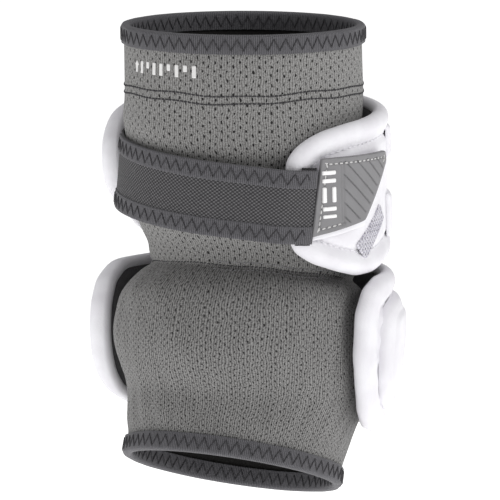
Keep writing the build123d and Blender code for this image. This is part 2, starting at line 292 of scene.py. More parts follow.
def wave(tree: bpy.types.NodeTree, place: Any, pitch_mm: float, phase: Any = 0.0) -> Any:
    """Cosine of a place in millimetres, once every pitch, from -1 to 1."""
    angle = calc(tree, "MULTIPLY", place, 2 * np.pi / pitch_mm)
    return calc(tree, "COSINE", calc(tree, "ADD", angle, phase))


def remap(tree: bpy.types.NodeTree, value: Any, low: float, high: float) -> Any:
    """Value mapped from low to high on to 0 to 1, smoothly and within bounds."""
    inputs = {"Value": value, 1: low, 2: high, 3: 0.0, 4: 1.0}
    return add_node(tree, "ShaderNodeMapRange", inputs, interpolation_type="SMOOTHSTEP").outputs[0]


def mix_colour(tree: bpy.types.NodeTree, share: Any, a: Any, b: Any) -> Any:
    """Colour a where share is 0 and b where it is 1; a and b are hex colours or sockets."""
    node = add_node(tree, "ShaderNodeMix", {"Factor": share}, data_type="RGBA")
    for key, colour in ((6, a), (7, b)):
        if isinstance(colour, str):
            node.inputs[key].default_value = linear(colour)
        else:
            tree.links.new(colour, node.inputs[key])
    return node.outputs[2]


class Finish:
    """A named material, made once and shared by every piece that has it."""

    name = "finish"
    roughness = 0.8
    specular = 0.4
    sheen = 0.0
    bump_mm = 0.1

    def pattern(self, tree: bpy.types.NodeTree) -> tuple[Any, Any]:
        """Colour and height (0 to 1) of the surface, as a hex colour or socket, and a socket or None."""
        raise NotImplementedError

    def material(self) -> bpy.types.Material:
        """The finish's material, built on first use."""
        found = bpy.data.materials.get(self.name)
        if found:
            return found
        made = bpy.data.materials.new(self.name)
        made.use_nodes = True
        tree = made.node_tree
        shader = tree.nodes["Principled BSDF"]
        shader.inputs["Roughness"].default_value = self.roughness
        shader.inputs["Specular IOR Level"].default_value = self.specular
        shader.inputs["Sheen Weight"].default_value = self.sheen
        colour, height = self.pattern(tree)
        if isinstance(colour, str):
            shader.inputs["Base Color"].default_value = linear(colour)
        else:
            tree.links.new(colour, shader.inputs["Base Color"])
        if height is not None:
            inputs = {"Height": height, "Distance": self.bump_mm * MM, "Strength": 1.0}
            normal = add_node(tree, "ShaderNodeBump", inputs).outputs[0]
            tree.links.new(normal, shader.inputs["Normal"])
        return made


class KnitMesh(Finish):
    """Warp-knit polyester mesh: offset rows of eyelets between fine ribs, matt with a light sheen; the
    eyelets are painted near black as the shade seen through them.
    """

    name = "polyester_mesh_knit"
    roughness = 0.85
    specular = 0.25
    sheen = 0.15
    bump_mm = 0.55
    eyelet_across = 5.4  # distance between eyelets in a row
    eyelet_up = 4.05  # distance between rows of the same phase
    wale = 1.1  # rib spacing, drawn coarse enough to show
    drift = 7.0  # size of the wander that keeps the rows from standing too straight
    # the eyelet colour is painted shade: the dark seen through the holes
    yarn, shade, eyelet = "#989796", "#62615f", "#1a1919"

    def pattern(self, tree: bpy.types.NodeTree) -> tuple[Any, Any]:
        """Eyelets where the squared cosines of both directions peak together, in two offset sets, painted
        with near-black shade.
        """
        vector, x, y = cloth_xy(tree)
        wander = calc(tree, "MULTIPLY", calc(tree, "SUBTRACT", noise(tree, vector, self.drift), 0.5), 2.6)
        x, y = calc(tree, "ADD", x, wander), calc(tree, "SUBTRACT", y, wander)
        across, up = wave(tree, x, self.eyelet_across), wave(tree, y, self.eyelet_up)
        sets = []
        for sign in (0.5, -0.5):
            cx = calc(tree, "MULTIPLY_ADD", across, sign)
            cx.node.inputs[2].default_value = 0.5
            cy = calc(tree, "MULTIPLY_ADD", up, sign)
            cy.node.inputs[2].default_value = 0.5
            sets.append(calc(tree, "MULTIPLY", calc(tree, "POWER", cx, 13.0), calc(tree, "POWER", cy, 2.2)))
        both = calc(tree, "ADD", sets[0], sets[1])
        size = calc(tree, "MULTIPLY", noise(tree, vector, 3.0), 0.9)
        hole = remap(tree, calc(tree, "SUBTRACT", both, size), -0.05, 0.30)
        grain = noise(tree, vector, 0.75, 3.0)
        rib = wave(tree, x, self.wale)
        yarn = calc(tree, "ADD", calc(tree, "MULTIPLY", rib, 0.12), grain)
        colour = mix_colour(tree, remap(tree, yarn, 0.30, 0.68), self.shade, self.yarn)
        # the holes take the near-black painted shade
        colour = mix_colour(tree, hole, colour, self.eyelet)
        height = calc(tree, "SUBTRACT", calc(tree, "MULTIPLY", yarn, 0.45), hole)
        return colour, height


class StretchKnit(KnitMesh):
    """The same knit stretched over the elbow: smaller, closer eyelets in wandering columns."""

    name = "polyester_mesh_knit_stretched"
    eyelet_across = 3.7
    eyelet_up = 3.1
    # the stretched eyelets also get near-black painted shade
    yarn, shade, eyelet = "#908f8e", "#555453", "#1f1e1e"


class KnitInsideShade(Finish):
    """Back of the mesh knit over a soft fibre grain, near black as painted shade for the unlit inside of the
    sleeve.
    """

    name = "knit_inside_painted_shade"
    roughness = 0.95
    specular = 0.15
    bump_mm = 0.2

    def pattern(self, tree: bpy.types.NodeTree) -> tuple[Any, Any]:
        """Soft fibre noise between two near-black tones of painted shade."""
        grain = noise(tree, object_mm(tree), 0.9, 3.0)
        return mix_colour(tree, grain, "#201f1f", "#363534"), grain


class FoldElastic(Finish):
    """Woven fold-over elastic: fine crosswise cords, matt dark grey."""

    name = "woven_fold_elastic"
    roughness = 0.75
    specular = 0.3
    sheen = 0.1
    bump_mm = 0.16
    cord = 0.9  # spacing of the crosswise cords

    def pattern(self, tree: bpy.types.NodeTree) -> tuple[Any, Any]:
        """Cords along the width, broken by yarn noise."""
        vector, x, _ = cloth_xy(tree)
        grain = noise(tree, vector, 0.7, 3.0)
        cords = calc(tree, "ADD", calc(tree, "MULTIPLY", wave(tree, x, self.cord), 0.22), grain)
        return mix_colour(tree, remap(tree, cords, 0.25, 0.8), "#434245", "#68676b"), cords


class WovenWeb(Finish):
    """Plain-woven polyester webbing: a close checker of dark and lighter floats."""

    name = "woven_web"
    roughness = 0.7
    specular = 0.35
    bump_mm = 0.22
    across, along = 1.0, 1.6  # spacing of the floats, drawn coarse enough to show
    dark, light = "#333234", "#6f6e70"

    def pattern(self, tree: bpy.types.NodeTree) -> tuple[Any, Any]:
        """Product of the cosines of both directions, which peaks in offset rows."""
        vector, x, y = cloth_xy(tree)
        float_ = calc(tree, "MULTIPLY", wave(tree, x, 2 * self.across), wave(tree, y, self.along))
        grain = calc(tree, "MULTIPLY", noise(tree, vector, 1.4), 0.8)
        value = calc(tree, "ADD", float_, grain)
        return mix_colour(tree, remap(tree, value, 0.0, 1.3), self.dark, self.light), value


class TapeWeave(WovenWeb):
    """Thin woven polyester tape, darker than the webbing."""

    name = "woven_tape"
    across, along = 0.8, 0.9
    dark, light = "#2b2a2c", "#555457"


class GripSilicone(Finish):
    """Silicone-coated elastic: smooth, near black, with a soft sheen."""

    name = "silicone_coated_elastic"
    roughness = 0.45
    specular = 0.45
    bump_mm = 0.08

    def pattern(self, tree: bpy.types.NodeTree) -> tuple[Any, Any]:
        """Slight mottling of the coat."""
        grain = noise(tree, object_mm(tree), 2.5)
        return mix_colour(tree, grain, "#1b1a1b", "#2a292a"), grain


class CoatedSkin(Finish):
    """White polyurethane-coated synthetic leather: fine pebble grain, satin, a trace of lilac."""

    name = "coated_synthetic_leather"
    roughness = 0.5
    specular = 0.4
    sheen = 0.05
    bump_mm = 0.09
    pebble = 0.9  # size of a grain cell
    cloud = 14.0  # size of the slow clouding

    def pattern(self, tree: bpy.types.NodeTree) -> tuple[Any, Any]:
        """Pebble cells for the grain, with slow clouding."""
        place = object_mm(tree)
        inputs = {"Vector": place, "Scale": 1 / self.pebble}
        cells = add_node(tree, "ShaderNodeTexVoronoi", inputs).outputs["Distance"]
        cloud = noise(tree, place, self.cloud, 3.0)
        colour = mix_colour(tree, remap(tree, cloud, 0.3, 0.7), "#e7e5ea", "#f0eff3")
        return colour, calc(tree, "ADD", calc(tree, "MULTIPLY", cells, 0.6), noise(tree, place, 0.5))


class LiningKnit(Finish):
    """Brushed tricot lining, dark grey and matt."""

    name = "brushed_tricot_lining"
    roughness = 0.95
    specular = 0.15
    sheen = 0.2
    bump_mm = 0.15

    def pattern(self, tree: bpy.types.NodeTree) -> tuple[Any, Any]:
        """Short fibre noise."""
        grain = noise(tree, object_mm(tree), 0.8, 4.0)
        return mix_colour(tree, grain, "#3a393b", "#6c6b6e"), grain


class SpacerMesh(Finish):
    """White spacer mesh with diagonal ribs and small pores."""

    name = "ribbed_spacer_mesh"
    roughness = 0.8
    specular = 0.3
    bump_mm = 0.5
    rib, pore = 2.0, 2.4

    def pattern(self, tree: bpy.types.NodeTree) -> tuple[Any, Any]:
        """Ribs across the strip with a pore between them, the sunken pores painted darker as shade."""
        _, x, y = cloth_xy(tree)
        ribs = wave(tree, x, self.rib)
        pores = calc(tree, "MULTIPLY", calc(tree, "MULTIPLY", ribs, -1.0), wave(tree, y, self.pore))
        share = remap(tree, pores, 0.1, 0.8)
        # the darker pore colour is painted shade in the sunken pores
        return mix_colour(tree, share, "#e6e4ec", "#bfbccc"), calc(tree, "SUBTRACT", ribs, share)


class MouldedRubber(Finish):
    """Moulded TPR rubber: even mid grey, satin, with the mould's fine texture."""

    name = "moulded_tpr_rubber"
    roughness = 0.5
    specular = 0.45
    bump_mm = 0.05

    def pattern(self, tree: bpy.types.NodeTree) -> tuple[Any, Any]:
        """Fine mould grain."""
        place = object_mm(tree)
        grain = noise(tree, place, 0.6, 2.0)
        return mix_colour(tree, noise(tree, place, 9.0), "#79787a", "#868587"), grain


@dataclass(frozen=True)
class PlainStock(Finish):
    """A stock material told by its two near colours and grain size, such as plate, print or thread."""

    name: str = "stock"
    dark: str = "#808080"
    light: str = "#909090"
    grain_mm: float = 1.0
    roughness: float = 0.8
    specular: float = 0.3
    sheen: float = 0.0
    bump_mm: float = 0.08

    def pattern(self, tree: bpy.types.NodeTree) -> tuple[Any, Any]:
        """Noise of the stock's own grain."""
        grain = noise(tree, object_mm(tree), self.grain_mm, 3.0)
        return mix_colour(tree, grain, self.dark, self.light), grain


# Spun polyester thread is matt, polyethylene sheet is waxy, transfer print is a thin even film,
# loop pile is fuzzy and nylon hook tape is stiff and slightly glossy.
THREAD_DARK = PlainStock("spun_thread_dark", "#333234", "#4a494c", 0.5)
THREAD_LIGHT = PlainStock("spun_thread_light", "#c9c8c7", "#e6e5e4", 0.5)
THREAD_GREY = PlainStock("spun_thread_grey", "#7c7b7d", "#a3a2a4", 0.5)
THREAD_WHITE = PlainStock("spun_thread_white", "#e6e4ea", "#f6f5f8", 0.5)
PE_SHEET = PlainStock("polyethylene_sheet", "#dddddd", "#e6e6e6", 6.0, roughness=0.4, specular=0.5)
PRINT_INK = PlainStock("transfer_print_film", "#dad9d8", "#f0efee", 0.8, roughness=0.6)
MARK_RUBBER = PlainStock("moulded_white_rubber", "#f3f2f2", "#fbfafa", 1.0, roughness=0.45)
LOOP_PILE = PlainStock("brushed_loop_pile", "#d5d4d8", "#f2f1f4", 0.4, sheen=0.3, bump_mm=0.3)
HOOK_TAPE = PlainStock("nylon_hook_tape", "#c6c5c8", "#e0dfe2", 0.7, roughness=0.5, bump_mm=0.4)


# ------------------------------------------------------------------ surfaces
@dataclass(frozen=True)
class ArmForm:
    """Outside of the sleeve: a round section that moves and tilts along the arm.

    A point is centre(d) + (radius(d) + lift) * (sin psi, -cos psi cos tilt, cos psi sin tilt), where d is
    the depth of the section's centre below the top opening.
    """

    depth: tuple[float, ...] = (1.3, 12, 48, 75, 97, 114.6, 125, 137, 147, 160, 172, 185, 197.4, 204)
    centre_y: tuple[float, ...] = (0, 0, 0.5, 3.2, 7, 10, 5.6, 2.2, 1, 1.5, 1.6, -4.2, -9.6, -12.1)
    radius: tuple[float, ...] = (
        53.6, 53.6, 53.4, 51.7, 49.5, 47.3, 55.6, 58.0, 58.6, 57.4, 54.4, 51.3, 49, 49,
    )
    tilt: tuple[float, ...] = (0, 0, 0, 3.5, 8, 12.5, 11, 9.5, 9, 10.5, 13, 17, 21, 21)

    def point(self, d: Array, psi: Array, lift: Array | float = 0.0, slide: Array | float = 0.0) -> Array:
        """Point of the surface, lifted outwards and slid along the arm, in millimetres."""
        d, psi = np.broadcast_arrays(np.asarray(d, float), np.asarray(psi, float))
        s, c = turned(psi)
        ts, tc = turned(smooth_curve(d, self.depth, self.tilt))
        r = smooth_curve(d, self.depth, self.radius) + lift
        y = smooth_curve(d, self.depth, self.centre_y)
        return np.stack([r * s, y - r * c * tc - slide * ts, r * c * ts - d - slide * tc], -1)

    def out(self, d: Array, psi: Array) -> Array:
        """Outward unit vectors in the section's plane."""
        return unit(self.point(d, psi, 1.0) - self.point(d, psi))


@dataclass(frozen=True)
class GuardForm:
    """Surface of the upper guard: a leaning cone round (0, axis(z)) with radius base(z) plus a height."""

    top: tuple[float, float, float] = (1.5, -20.0, 57.0)
    bottom: tuple[float, float, float] = (8.5, -115.0, 56.4)

    def base(self, z: Array) -> tuple[Array, Array]:
        """Axis y and inside radius at a height."""
        t = (z - self.top[1]) / (self.bottom[1] - self.top[1])
        return tuple(a + (b - a) * t for a, b in zip(self.top[::2], self.bottom[::2]))

    def point(self, psi: Array, z: Array, h: Array | float) -> Array:
        """Point at an angle, a height up the arm and a height above the inside face."""
        y, r = self.base(z)
        s, c = turned(psi)
        return np.stack([(r + h) * s, y - (r + h) * c, z + 0 * s], -1)

    def psi_at(self, y: Array, z: Array, h: float) -> Array:
        """Angle on the +X side where the surface has a given y."""
        axis, r = self.base(z)
        return np.degrees(np.arccos((axis - y) / (r + h)))


@dataclass(frozen=True)
class CapForm:
    """Surface of the elbow cap: a barrel round (0, axis), its radius a curve of height plus a height."""

    axis: float = 2.0
    knots: tuple[float, ...] = (-192.0, -178.0, -166.0, -145.0, -125.0, -106.0)
    radii: tuple[float, ...] = (53.8, 57.6, 60.3, 62.0, 61.4, 60.0)
    stand_off: float = 0.5  # how far the end on the -X side stands further off the arm

    def point(self, psi: Array, z: Array, h: Array | float) -> Array:
        """Point at an angle, a height up the arm and a height above the inside face."""
        s, c = turned(psi)
        r = smooth_curve(z, self.knots, self.radii) + self.stand_off * ease(psi, 252, 272) + h
        return np.stack([r * s, self.axis - r * c, z + 0 * s], -1)


class Patch:
    """Grid over a closed outline drawn on a round surface.

    Columns stand at rising angles and rows run from the outline's top edge to its bottom edge. Both crowd
    towards the outline by a cosine, so a rolled rim is fine there and coarse inside.
    """

    unrolled = 60.0  # radius at which angles are counted as millimetres
    edge_clip = 2e-4  # keeps the end columns just off the outline's extreme points
    edge_step = 0.7  # spacing of the points along the outline

    def __init__(self, outline: Sequence[tuple[float, float]], corner: float, rows: int, cols: int) -> None:
        """Rounds the outline's corners and lays the grid.

        Args:
            outline: (angle, z) corners, in order round the patch.
            corner: how far each corner is rounded, in millimetres.
            rows: points from top to bottom.
            cols: points from one side to the other.
        """
        corners = np.array(outline, float) * (np.radians(1) * self.unrolled, 1)
        self.edge = self._rounded(corners, corner, self.edge_step)
        a, z = self.edge.T
        left, right = int(a.argmin()), int(a.argmax())
        chains = [self._chain(left, right), self._chain(right, left)[::-1]]
        chains.sort(key=lambda chain: -chain[:, 1].mean())
        u = (1 - np.cos(np.linspace(0, np.pi, cols))) / 2
        at = a[left] + (a[right] - a[left]) * np.clip(u, self.edge_clip, 1 - self.edge_clip)
        high, low = (np.interp(at, chain[:, 0], chain[:, 1]) for chain in chains)
        v = (1 - np.cos(np.linspace(0, np.pi, rows)))[:, None] / 2
        self.a = np.broadcast_to(at, (rows, cols))
        self.z = high + (low - high) * v
        self.inset = self._distance(np.stack([self.a, self.z], -1))
        self.inset[[0, -1]] = 0
        self.inset[:, [0, -1]] = 0
        self.psi = np.degrees(self.a / self.unrolled)

    def _distance(self, points: Array) -> Array:
        """Distance from each grid point to the outline: the nearest corner's two segments are tried."""
        count = len(self.edge)
        nearest = np.stack([((row[:, None] - self.edge) ** 2).sum(-1).argmin(-1) for row in points])
        best = np.full(nearest.shape, np.inf)
        for start in (nearest - 1, nearest):
            p, q = self.edge[start % count], self.edge[(start + 1) % count]
            along = q - p
            t = np.clip(((points - p) * along).sum(-1) / (along**2).sum(-1), 0, 1)
            best = np.minimum(best, np.linalg.norm(points - p - t[..., None] * along, axis=-1))
        return best

    @staticmethod
    def _rounded(corners: Array, corner: float, step: float) -> Array:
        """Outline at even steps, each corner softened by a Gaussian as wide as the rounding."""
        loop = np.vstack([corners, corners[:1]])
        run = np.concatenate([[0], np.cumsum(np.linalg.norm(np.diff(loop, axis=0), axis=1))])
        count = int(max(160, run[-1] / step))
        at = np.linspace(0, run[-1], count, endpoint=False)
        even = np.stack([np.interp(at, run, loop[:, k]) for k in (0, 1)], -1)
        waves = np.fft.fftfreq(count, run[-1] / count) * 2 * np.pi
        soft = np.exp(-((waves * corner / 2.2) ** 2) / 2)
        return np.real(np.fft.ifft(np.fft.fft(even, axis=0) * soft[:, None], axis=0))

    def _chain(self, start: int, end: int) -> Array:
        """Outline points from one number to another, with rising distance along the way."""
        count = len(self.edge)
        chain = self.edge[np.arange(start, start + (end - start) % count + 1) % count]
        rising = chain[-1, 0] > chain[0, 0]
        keep = (np.maximum if rising else np.minimum).accumulate(chain[:, 0])
        return np.stack([keep, chain[:, 1]], -1)

    def line(self, inset: float, step: float) -> tuple[Array, Array]:
        """Angles and heights of points at even steps on a line inset from the outline."""
        edge = self.edge
        tangent = unit(np.roll(edge, -3, 0) - np.roll(edge, 3, 0))
        middle = edge.mean(0)
        normal = np.stack([-tangent[:, 1], tangent[:, 0]], -1)
        normal *= np.sign(((middle - edge) * normal).sum(1).mean())
        moved = edge + normal * inset
        loop = np.vstack([moved, moved[:1]])
        run = np.concatenate([[0], np.cumsum(np.linalg.norm(np.diff(loop, axis=0), axis=1))])
        at = np.arange(0, run[-1] - step / 2, step)
        a, z = (np.interp(at, run, loop[:, k]) for k in (0, 1))
        return np.degrees(a / self.unrolled), z

    def solid(
        self,
        name: str,
        place: Callable[[Array, Array, Array], Array],
        outer: Array,
        inner: Array,
        finish: Finish,
    ) -> bpy.types.Object:
        """Closed body between an outer and an inner height over the patch, which meet along the outline.

        Args:
            name: name of the object.
            place: the surface's point function of angle, z and height.
            outer: outer height at each grid point.
            inner: inner height at each grid point.
            finish: finish of the piece.

        Returns:
            The linked object.
        """
        rows, cols = self.z.shape
        faces, corners = grid_faces(rows, cols, wrap=False)
        points = np.concatenate([place(self.psi, self.z, h).reshape(-1, 3) for h in (outer, inner)])
        uv = np.stack([self.a, self.z], -1)[corners[..., 0], corners[..., 1]]
        faces = np.concatenate([faces, faces[:, ::-1] + rows * cols])
        obj = make_piece(name, points, faces, finish, np.concatenate([uv, uv[:, ::-1]]))
        close_seams(obj, 0.004)
        return obj


def inner_patch(outline: Sequence[tuple[float, float]], inset: float, rows: int, cols: int) -> Patch:
    """Patch whose edge runs a distance inside an outline."""
    psi, z = Patch(outline, 5.0, 8, 8).line(inset, 1.6)
    return Patch(list(zip(psi, z)), 1.5, rows, cols)


def roll(d: Array, width: float) -> Array:
    """Quarter-round rise from 0 at the edge to 1 at width: sqrt(1 - (1 - d / width) squared)."""
    t = np.clip(1 - d / width, 0, 1)
    return np.sqrt(np.maximum(1 - t * t, 0))


# ------------------------------------------------------------------ threads
def make_thread(
    name: str, path: Array, out: Array, radius: float, finish: Finish, closed: bool = False, sides: int = 5
) -> bpy.types.Object:
    """Round thread along a path.

    Args:
        name: name of the object.
        path: (N, 3) points.
        out: (N, 3) outward directions of the cloth beneath.
        radius: radius of the thread.
        finish: finish of the thread.
        closed: whether the path meets itself.
        sides: corners of its section.

    Returns:
        The linked object.
    """
    ahead = np.roll(path, -1, 0) - np.roll(path, 1, 0) if closed else np.gradient(path, axis=0)
    side = unit(np.cross(ahead, out))
    turn = np.linspace(0, 2 * np.pi, sides, endpoint=False)
    ring = out[:, None] * np.cos(turn)[:, None] + side[:, None] * np.sin(turn)[:, None]
    rings = path[:, None] + radius * ring
    if not closed:
        return make_tube(name, rings, finish)
    loop = np.concatenate([rings, rings[:1]])
    faces, _ = grid_faces(len(loop), sides, wrap=True)
    obj = make_piece(name, loop, faces, finish)
    close_seams(obj, 0.001)
    return obj


def make_dashes(
    name: str, middle: Array, along: Array, out: Array, length: float, width: float, finish: Finish
) -> bpy.types.Object:
    """Group of single stitches, each a short four-sided bead with tapered ends.

    Args:
        name: name of the object.
        middle: (N, 3) middles of the stitches.
        along: (N, 3) unit directions of the stitches.
        out: (N, 3) outward directions of the cloth.
        length: length of a stitch.
        width: width of a stitch.
        finish: finish of the thread.

    Returns:
        The linked object.
    """
    side = unit(np.cross(along, out))
    step = np.array([-0.5, -0.32, 0.32, 0.5]) * length
    fat = np.array([0.35, 1.0, 1.0, 0.35]) * width / 2
    corner = np.stack([side, out * 0.8, -side, -out * 0.8], 1)
    rings = (
        middle[:, None, None]
        + along[:, None, None] * step[None, :, None, None]
        + corner[:, None] * fat[None, :, None, None]
    )
    one = np.array(
        [[r + k, r + (k + 1) % 4, r + 4 + (k + 1) % 4, r + 4 + k] for r in (0, 4, 8) for k in range(4)]
        + [[3, 2, 1, 0], [12, 13, 14, 15]]
    )
    faces = (np.arange(len(middle)) * 16)[:, None, None] + one
    obj = make_piece(name, rings, faces.reshape(-1, 4), finish)
    close_seams(obj, 0.001)
    return obj


def zigzag(count: int, pitch_steps: int = 4) -> tuple[Array, Array]:
    """Share of the run and sideways place from -1 to 1 of a zigzag with so many teeth."""
    t = np.arange(count * pitch_steps) / (count * pitch_steps)
    phase = (t * count) % 1
    return t, 1 - 4 * np.abs(phase - 0.5)


# ------------------------------------------------------------------ sleeve
@dataclass(frozen=True)
class Sleeve:
    """Two-part stretch sleeve, its bindings, seams, stitch rows and printed mark."""

    form: ArmForm = ArmForm()
    wall: float = 1.6
    start: float = 1.5
    end: float = 203.0
    waist: float = 114.6  # depth of the seam between the arm tube and the elbow bulb
    rows: int = 170
    cols: int = 230
    cloth_radius: float = 52.0  # radius at which the knit's pattern is laid out
    bend_start: tuple[float, float, float] = (0.0, 0.004, -0.086)
    bend_end: tuple[float, float, float] = (0.0, 0.004, -0.184)
    ply: float = 1.2
    fold: float = 8.6  # height of the bindings
    slack: float = 0.15  # room between the cloth and a binding's ply
    binding_radius: float = 53.0  # radius at which a binding's zigzag is counted out
    pitch: float = 5.2  # zigzag stitch
    grip_start: float = 11.0  # depth of the grip band's top edge
    grip_height: float = 22.0
    mark_depth: float = 15.2  # depth of the printed mark's middle
    mark_step: float = 4.7  # degrees from one printed shape to the next

    def relief(self, d: Array, psi: Array) -> Array:
        """Folds of the cloth, as a lift in millimetres.

        The strap presses a band in and the cloth swells above and below it; a crease runs along the waist;
        slow waves cross the arm tube; and narrow upright waves run down the bulb, fading at the cuffs.
        """
        s, c = turned(psi)
        a = np.radians(psi)
        strap = 71.2 + 5.3 * s
        front = ease(c, -0.1, 0.6)
        pressed = -0.5 * bump(d, strap, 17) + 0.9 * bump(d, strap - 25, 6) + 1.0 * bump(d, strap + 24, 6)
        crease = -1.7 * bump(d, self.waist + 0.6, 1.9) + 0.9 * bump(d, self.waist - 5.5, 3.5)
        slow = 0.55 * np.sin(3 * a + 0.07 * d + 0.8) + 0.35 * np.sin(5 * a - 0.11 * d + 2.0)
        tube = slow * bump(d, 38, 24) + 0.5 * slow * bump(d, 100, 10)
        wander = 1.6 * np.sin(0.055 * d + 2 * a) + 0.9 * np.sin(0.13 * d - 3 * a)
        ribs = 0.28 * np.sin(31 * a + wander) + 0.22 * np.sin(17 * a - 1.3 * wander)
        lumps = 0.5 * np.sin(4 * a + 0.09 * d) + 0.4 * np.sin(7 * a - 0.12 * d + 1.0)
        bulb = ease(d, 118, 130) * (1 - ease(d, 186, 196))
        gather = 0.45 * np.sin(24 * a + np.sin(5 * a)) * bump(d, 121, 5)
        return pressed * front + crease + tube + (ribs + lumps) * bulb + gather

    def held(self, d: Array, psi: Array) -> Array:
        """Folds of the cloth, faded out where the bindings hold it."""
        return self.relief(d, psi) * ease(d, 9, 14) * (1 - ease(d, 190, 196))

    def _bent(self, obj: bpy.types.Object, replaces: Sequence[str] = ()) -> bpy.types.Object:
        """Bakes a piece's place into its mesh and hides the CAD nodes it stands for."""
        if replaces:
            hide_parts(*replaces)
        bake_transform(obj)
        log.info("%s bends between the arm bodies", obj.name)
        return obj

    def tube(self) -> bpy.types.Object:
        """The cloth tube, with an inside face of its own and the knit laid out along it."""
        d = np.linspace(self.start, self.end, self.rows)[:, None]
        psi = np.linspace(-180, 180, self.cols, endpoint=False)[None]
        points = self.form.point(d, psi, self.held(d, psi))
        faces, corners = grid_faces(self.rows, self.cols, wrap=True)
        across = np.radians(-180 + corners[..., 1] * 360 / self.cols) * self.cloth_radius
        along = -np.linspace(self.start, self.end, self.rows)[corners[..., 0]]
        obj = make_piece("arm_sleeve", points, faces, KnitMesh(), np.stack([across, along], -1))
        obj.data.materials.append(StretchKnit().material())
        # the inside face gets a near-black painted shade finish for the sleeve's dark interior
        obj.data.materials.append(KnitInsideShade().material())
        step = (self.end - self.start) / (self.rows - 1)
        below = corners[..., 0].mean(-1) * step + self.start > self.waist
        obj.data.polygons.foreach_set("material_index", below.astype(np.int32))
        wall = obj.modifiers.new("wall", "SOLIDIFY")
        wall.thickness, wall.offset = self.wall * MM, -1.0
        # material offset 2 puts the painted-shade finish on the solidified inside face
        wall.material_offset, wall.material_offset_rim = 2, 0
        self._bent(obj, ("upper_sleeve", "elbow_flex_panel", "forearm_sleeve"))
        return obj

    @staticmethod
    def bow(psi: Array, way: int) -> Array:
        """Slight swelling of a binding round the cuff: two sines of the angle."""
        a = np.radians(psi)
        return 0.22 * np.sin(9 * a + way) + 0.12 * np.sin(23 * a)

    def binding(self, name: str, edge: float, way: int, body: Body, replaced: str) -> None:
        """Folded elastic round a cuff, with its zigzag thread outside and inside.

        The section is a U round the cloth's edge: two plies and a half-round fold.

        Args:
            name: name of the piece.
            edge: depth of the cuff's free edge.
            way: 1 where the binding runs down from the edge, and -1 where it runs up.
            body: body that it rides on.
            replaced: CAD node that it stands for.
        """
        cols = 240
        psi = np.linspace(-180, 180, cols, endpoint=False)
        slack = self.slack
        bow = self.bow(psi, way)
        out_, in_ = self.ply + slack, -self.wall - slack - self.ply
        arc = np.linspace(0, np.pi, 9)
        middle, half = (out_ + in_) / 2, (out_ - in_) / 2
        fold = np.stack([middle + half * np.cos(arc), 1.5 - 1.5 * np.sin(arc)], -1)
        legs = [[in_, self.fold], [-self.wall - slack, self.fold], [-self.wall - slack, self.ply]]
        legs += [[slack, self.ply], [slack, self.fold], [out_, self.fold]]
        section = np.concatenate([fold, legs])
        depth = edge + way * section[:, 1]
        lift = section[:, 0] + bow[:, None] * (section[:, 0] > 0)
        points = self.form.point(edge, psi[:, None], lift, slide=depth - edge)
        loop = np.concatenate([points, points[:1]])
        faces, corners = grid_faces(cols + 1, len(section), wrap=True)
        run = np.concatenate([[0], np.cumsum(np.linalg.norm(np.diff(section, axis=0), axis=1)), [0]])
        uv = np.stack([corners[..., 0] * 2 * np.pi * self.cloth_radius / cols, run[corners[..., 1]]], -1)
        obj = make_piece(name, loop, faces, FoldElastic(), uv)
        close_seams(obj)
        bevel = obj.modifiers.new("soft_edges", "BEVEL")
        bevel.width, bevel.segments, bevel.limit_method = 0.3 * MM, 2, "ANGLE"
        settle(obj, body, (replaced,))
        share, side = zigzag(int(round(2 * np.pi * self.binding_radius / self.pitch)))
        psi = -180 + 360 * share
        at = way * (self.fold * 0.52 + side * self.fold * 0.30)
        bow = self.bow(psi, way)
        out = self.form.out(edge + 0 * psi, psi)
        for where, lift, sign in (("outside", out_ + 0.12 + bow, 1), ("inside", in_ - 0.12 + 0 * bow, -1)):
            path = self.form.point(edge, psi, lift, slide=at)
            named = f"{name}_zigzag_{where}"
            zig = make_thread(named, path, sign * out, THREAD_RADIUS, THREAD_DARK, closed=True)
            settle(zig, body)

    def stitch_rows(self) -> None:
        """Twin rows of dark cover stitch round the arm tube and light flatlock thread along the waist."""
        for name, depth, phase in (("upper", 26.5, 0.0), ("lower", 29.9, 0.4)):
            psi = np.linspace(-178, 178, 170)
            d = depth + 0.55 * np.sin(np.radians(psi) * 4 + phase) + 0.3 * np.sin(np.radians(psi) * 11)
            path = self.form.point(d, psi, self.relief(d, psi) + 0.12)
            ahead = unit(np.gradient(path, axis=0))
            out = self.form.out(d, psi)
            beads = make_dashes(f"cover_stitch_{name}", path, ahead, out, 1.75, 0.75, THREAD_DARK)
            settle(beads, Body.UPPER)
        for name, depth, low, high, finish in (
            ("light_upper", self.waist - 1.5, 4, 84, THREAD_GREY),
            ("light_lower", self.waist + 1.9, 4, 84, THREAD_GREY),
            ("dark", self.waist + 0.2, -86, 88, THREAD_DARK),
        ):
            psi = np.arange(low, high, 2.3)
            d = depth + 0.35 * np.sin(np.radians(psi) * 9)
            path = self.form.point(d, psi, self.relief(d, psi) + 0.15)
            ahead = unit(np.gradient(path, axis=0))
            out = self.form.out(d, psi)
            lean = unit(ahead + 0.35 * np.cross(out, ahead))
            beads = make_dashes(f"waist_stitch_{name}", path, lean, out, 1.5, 0.5, finish)
            self._bent(beads)

    def inside_seam(self, name: str, low: float, high: float, replaced: str) -> None:
        """Overlocked seam allowance down the inside at the back."""
        rows = int((high - low) / 1.5)
        d = np.linspace(low, high, rows)
        ridge = np.array([[-1.9, 0.0], [-1.5, 0.7], [-0.4, 0.95], [0.4, 0.95], [1.5, 0.7], [1.9, 0.0]])
        spread = np.degrees(ridge[:, 0] / 50)
        lift = self.held(d[:, None], 180 + spread)
        rings = self.form.point(d[:, None], 180 + spread[None], lift - self.wall - 0.1 - ridge[:, 1])
        self._bent(make_tube(name, rings, THREAD_GREY), (replaced,))

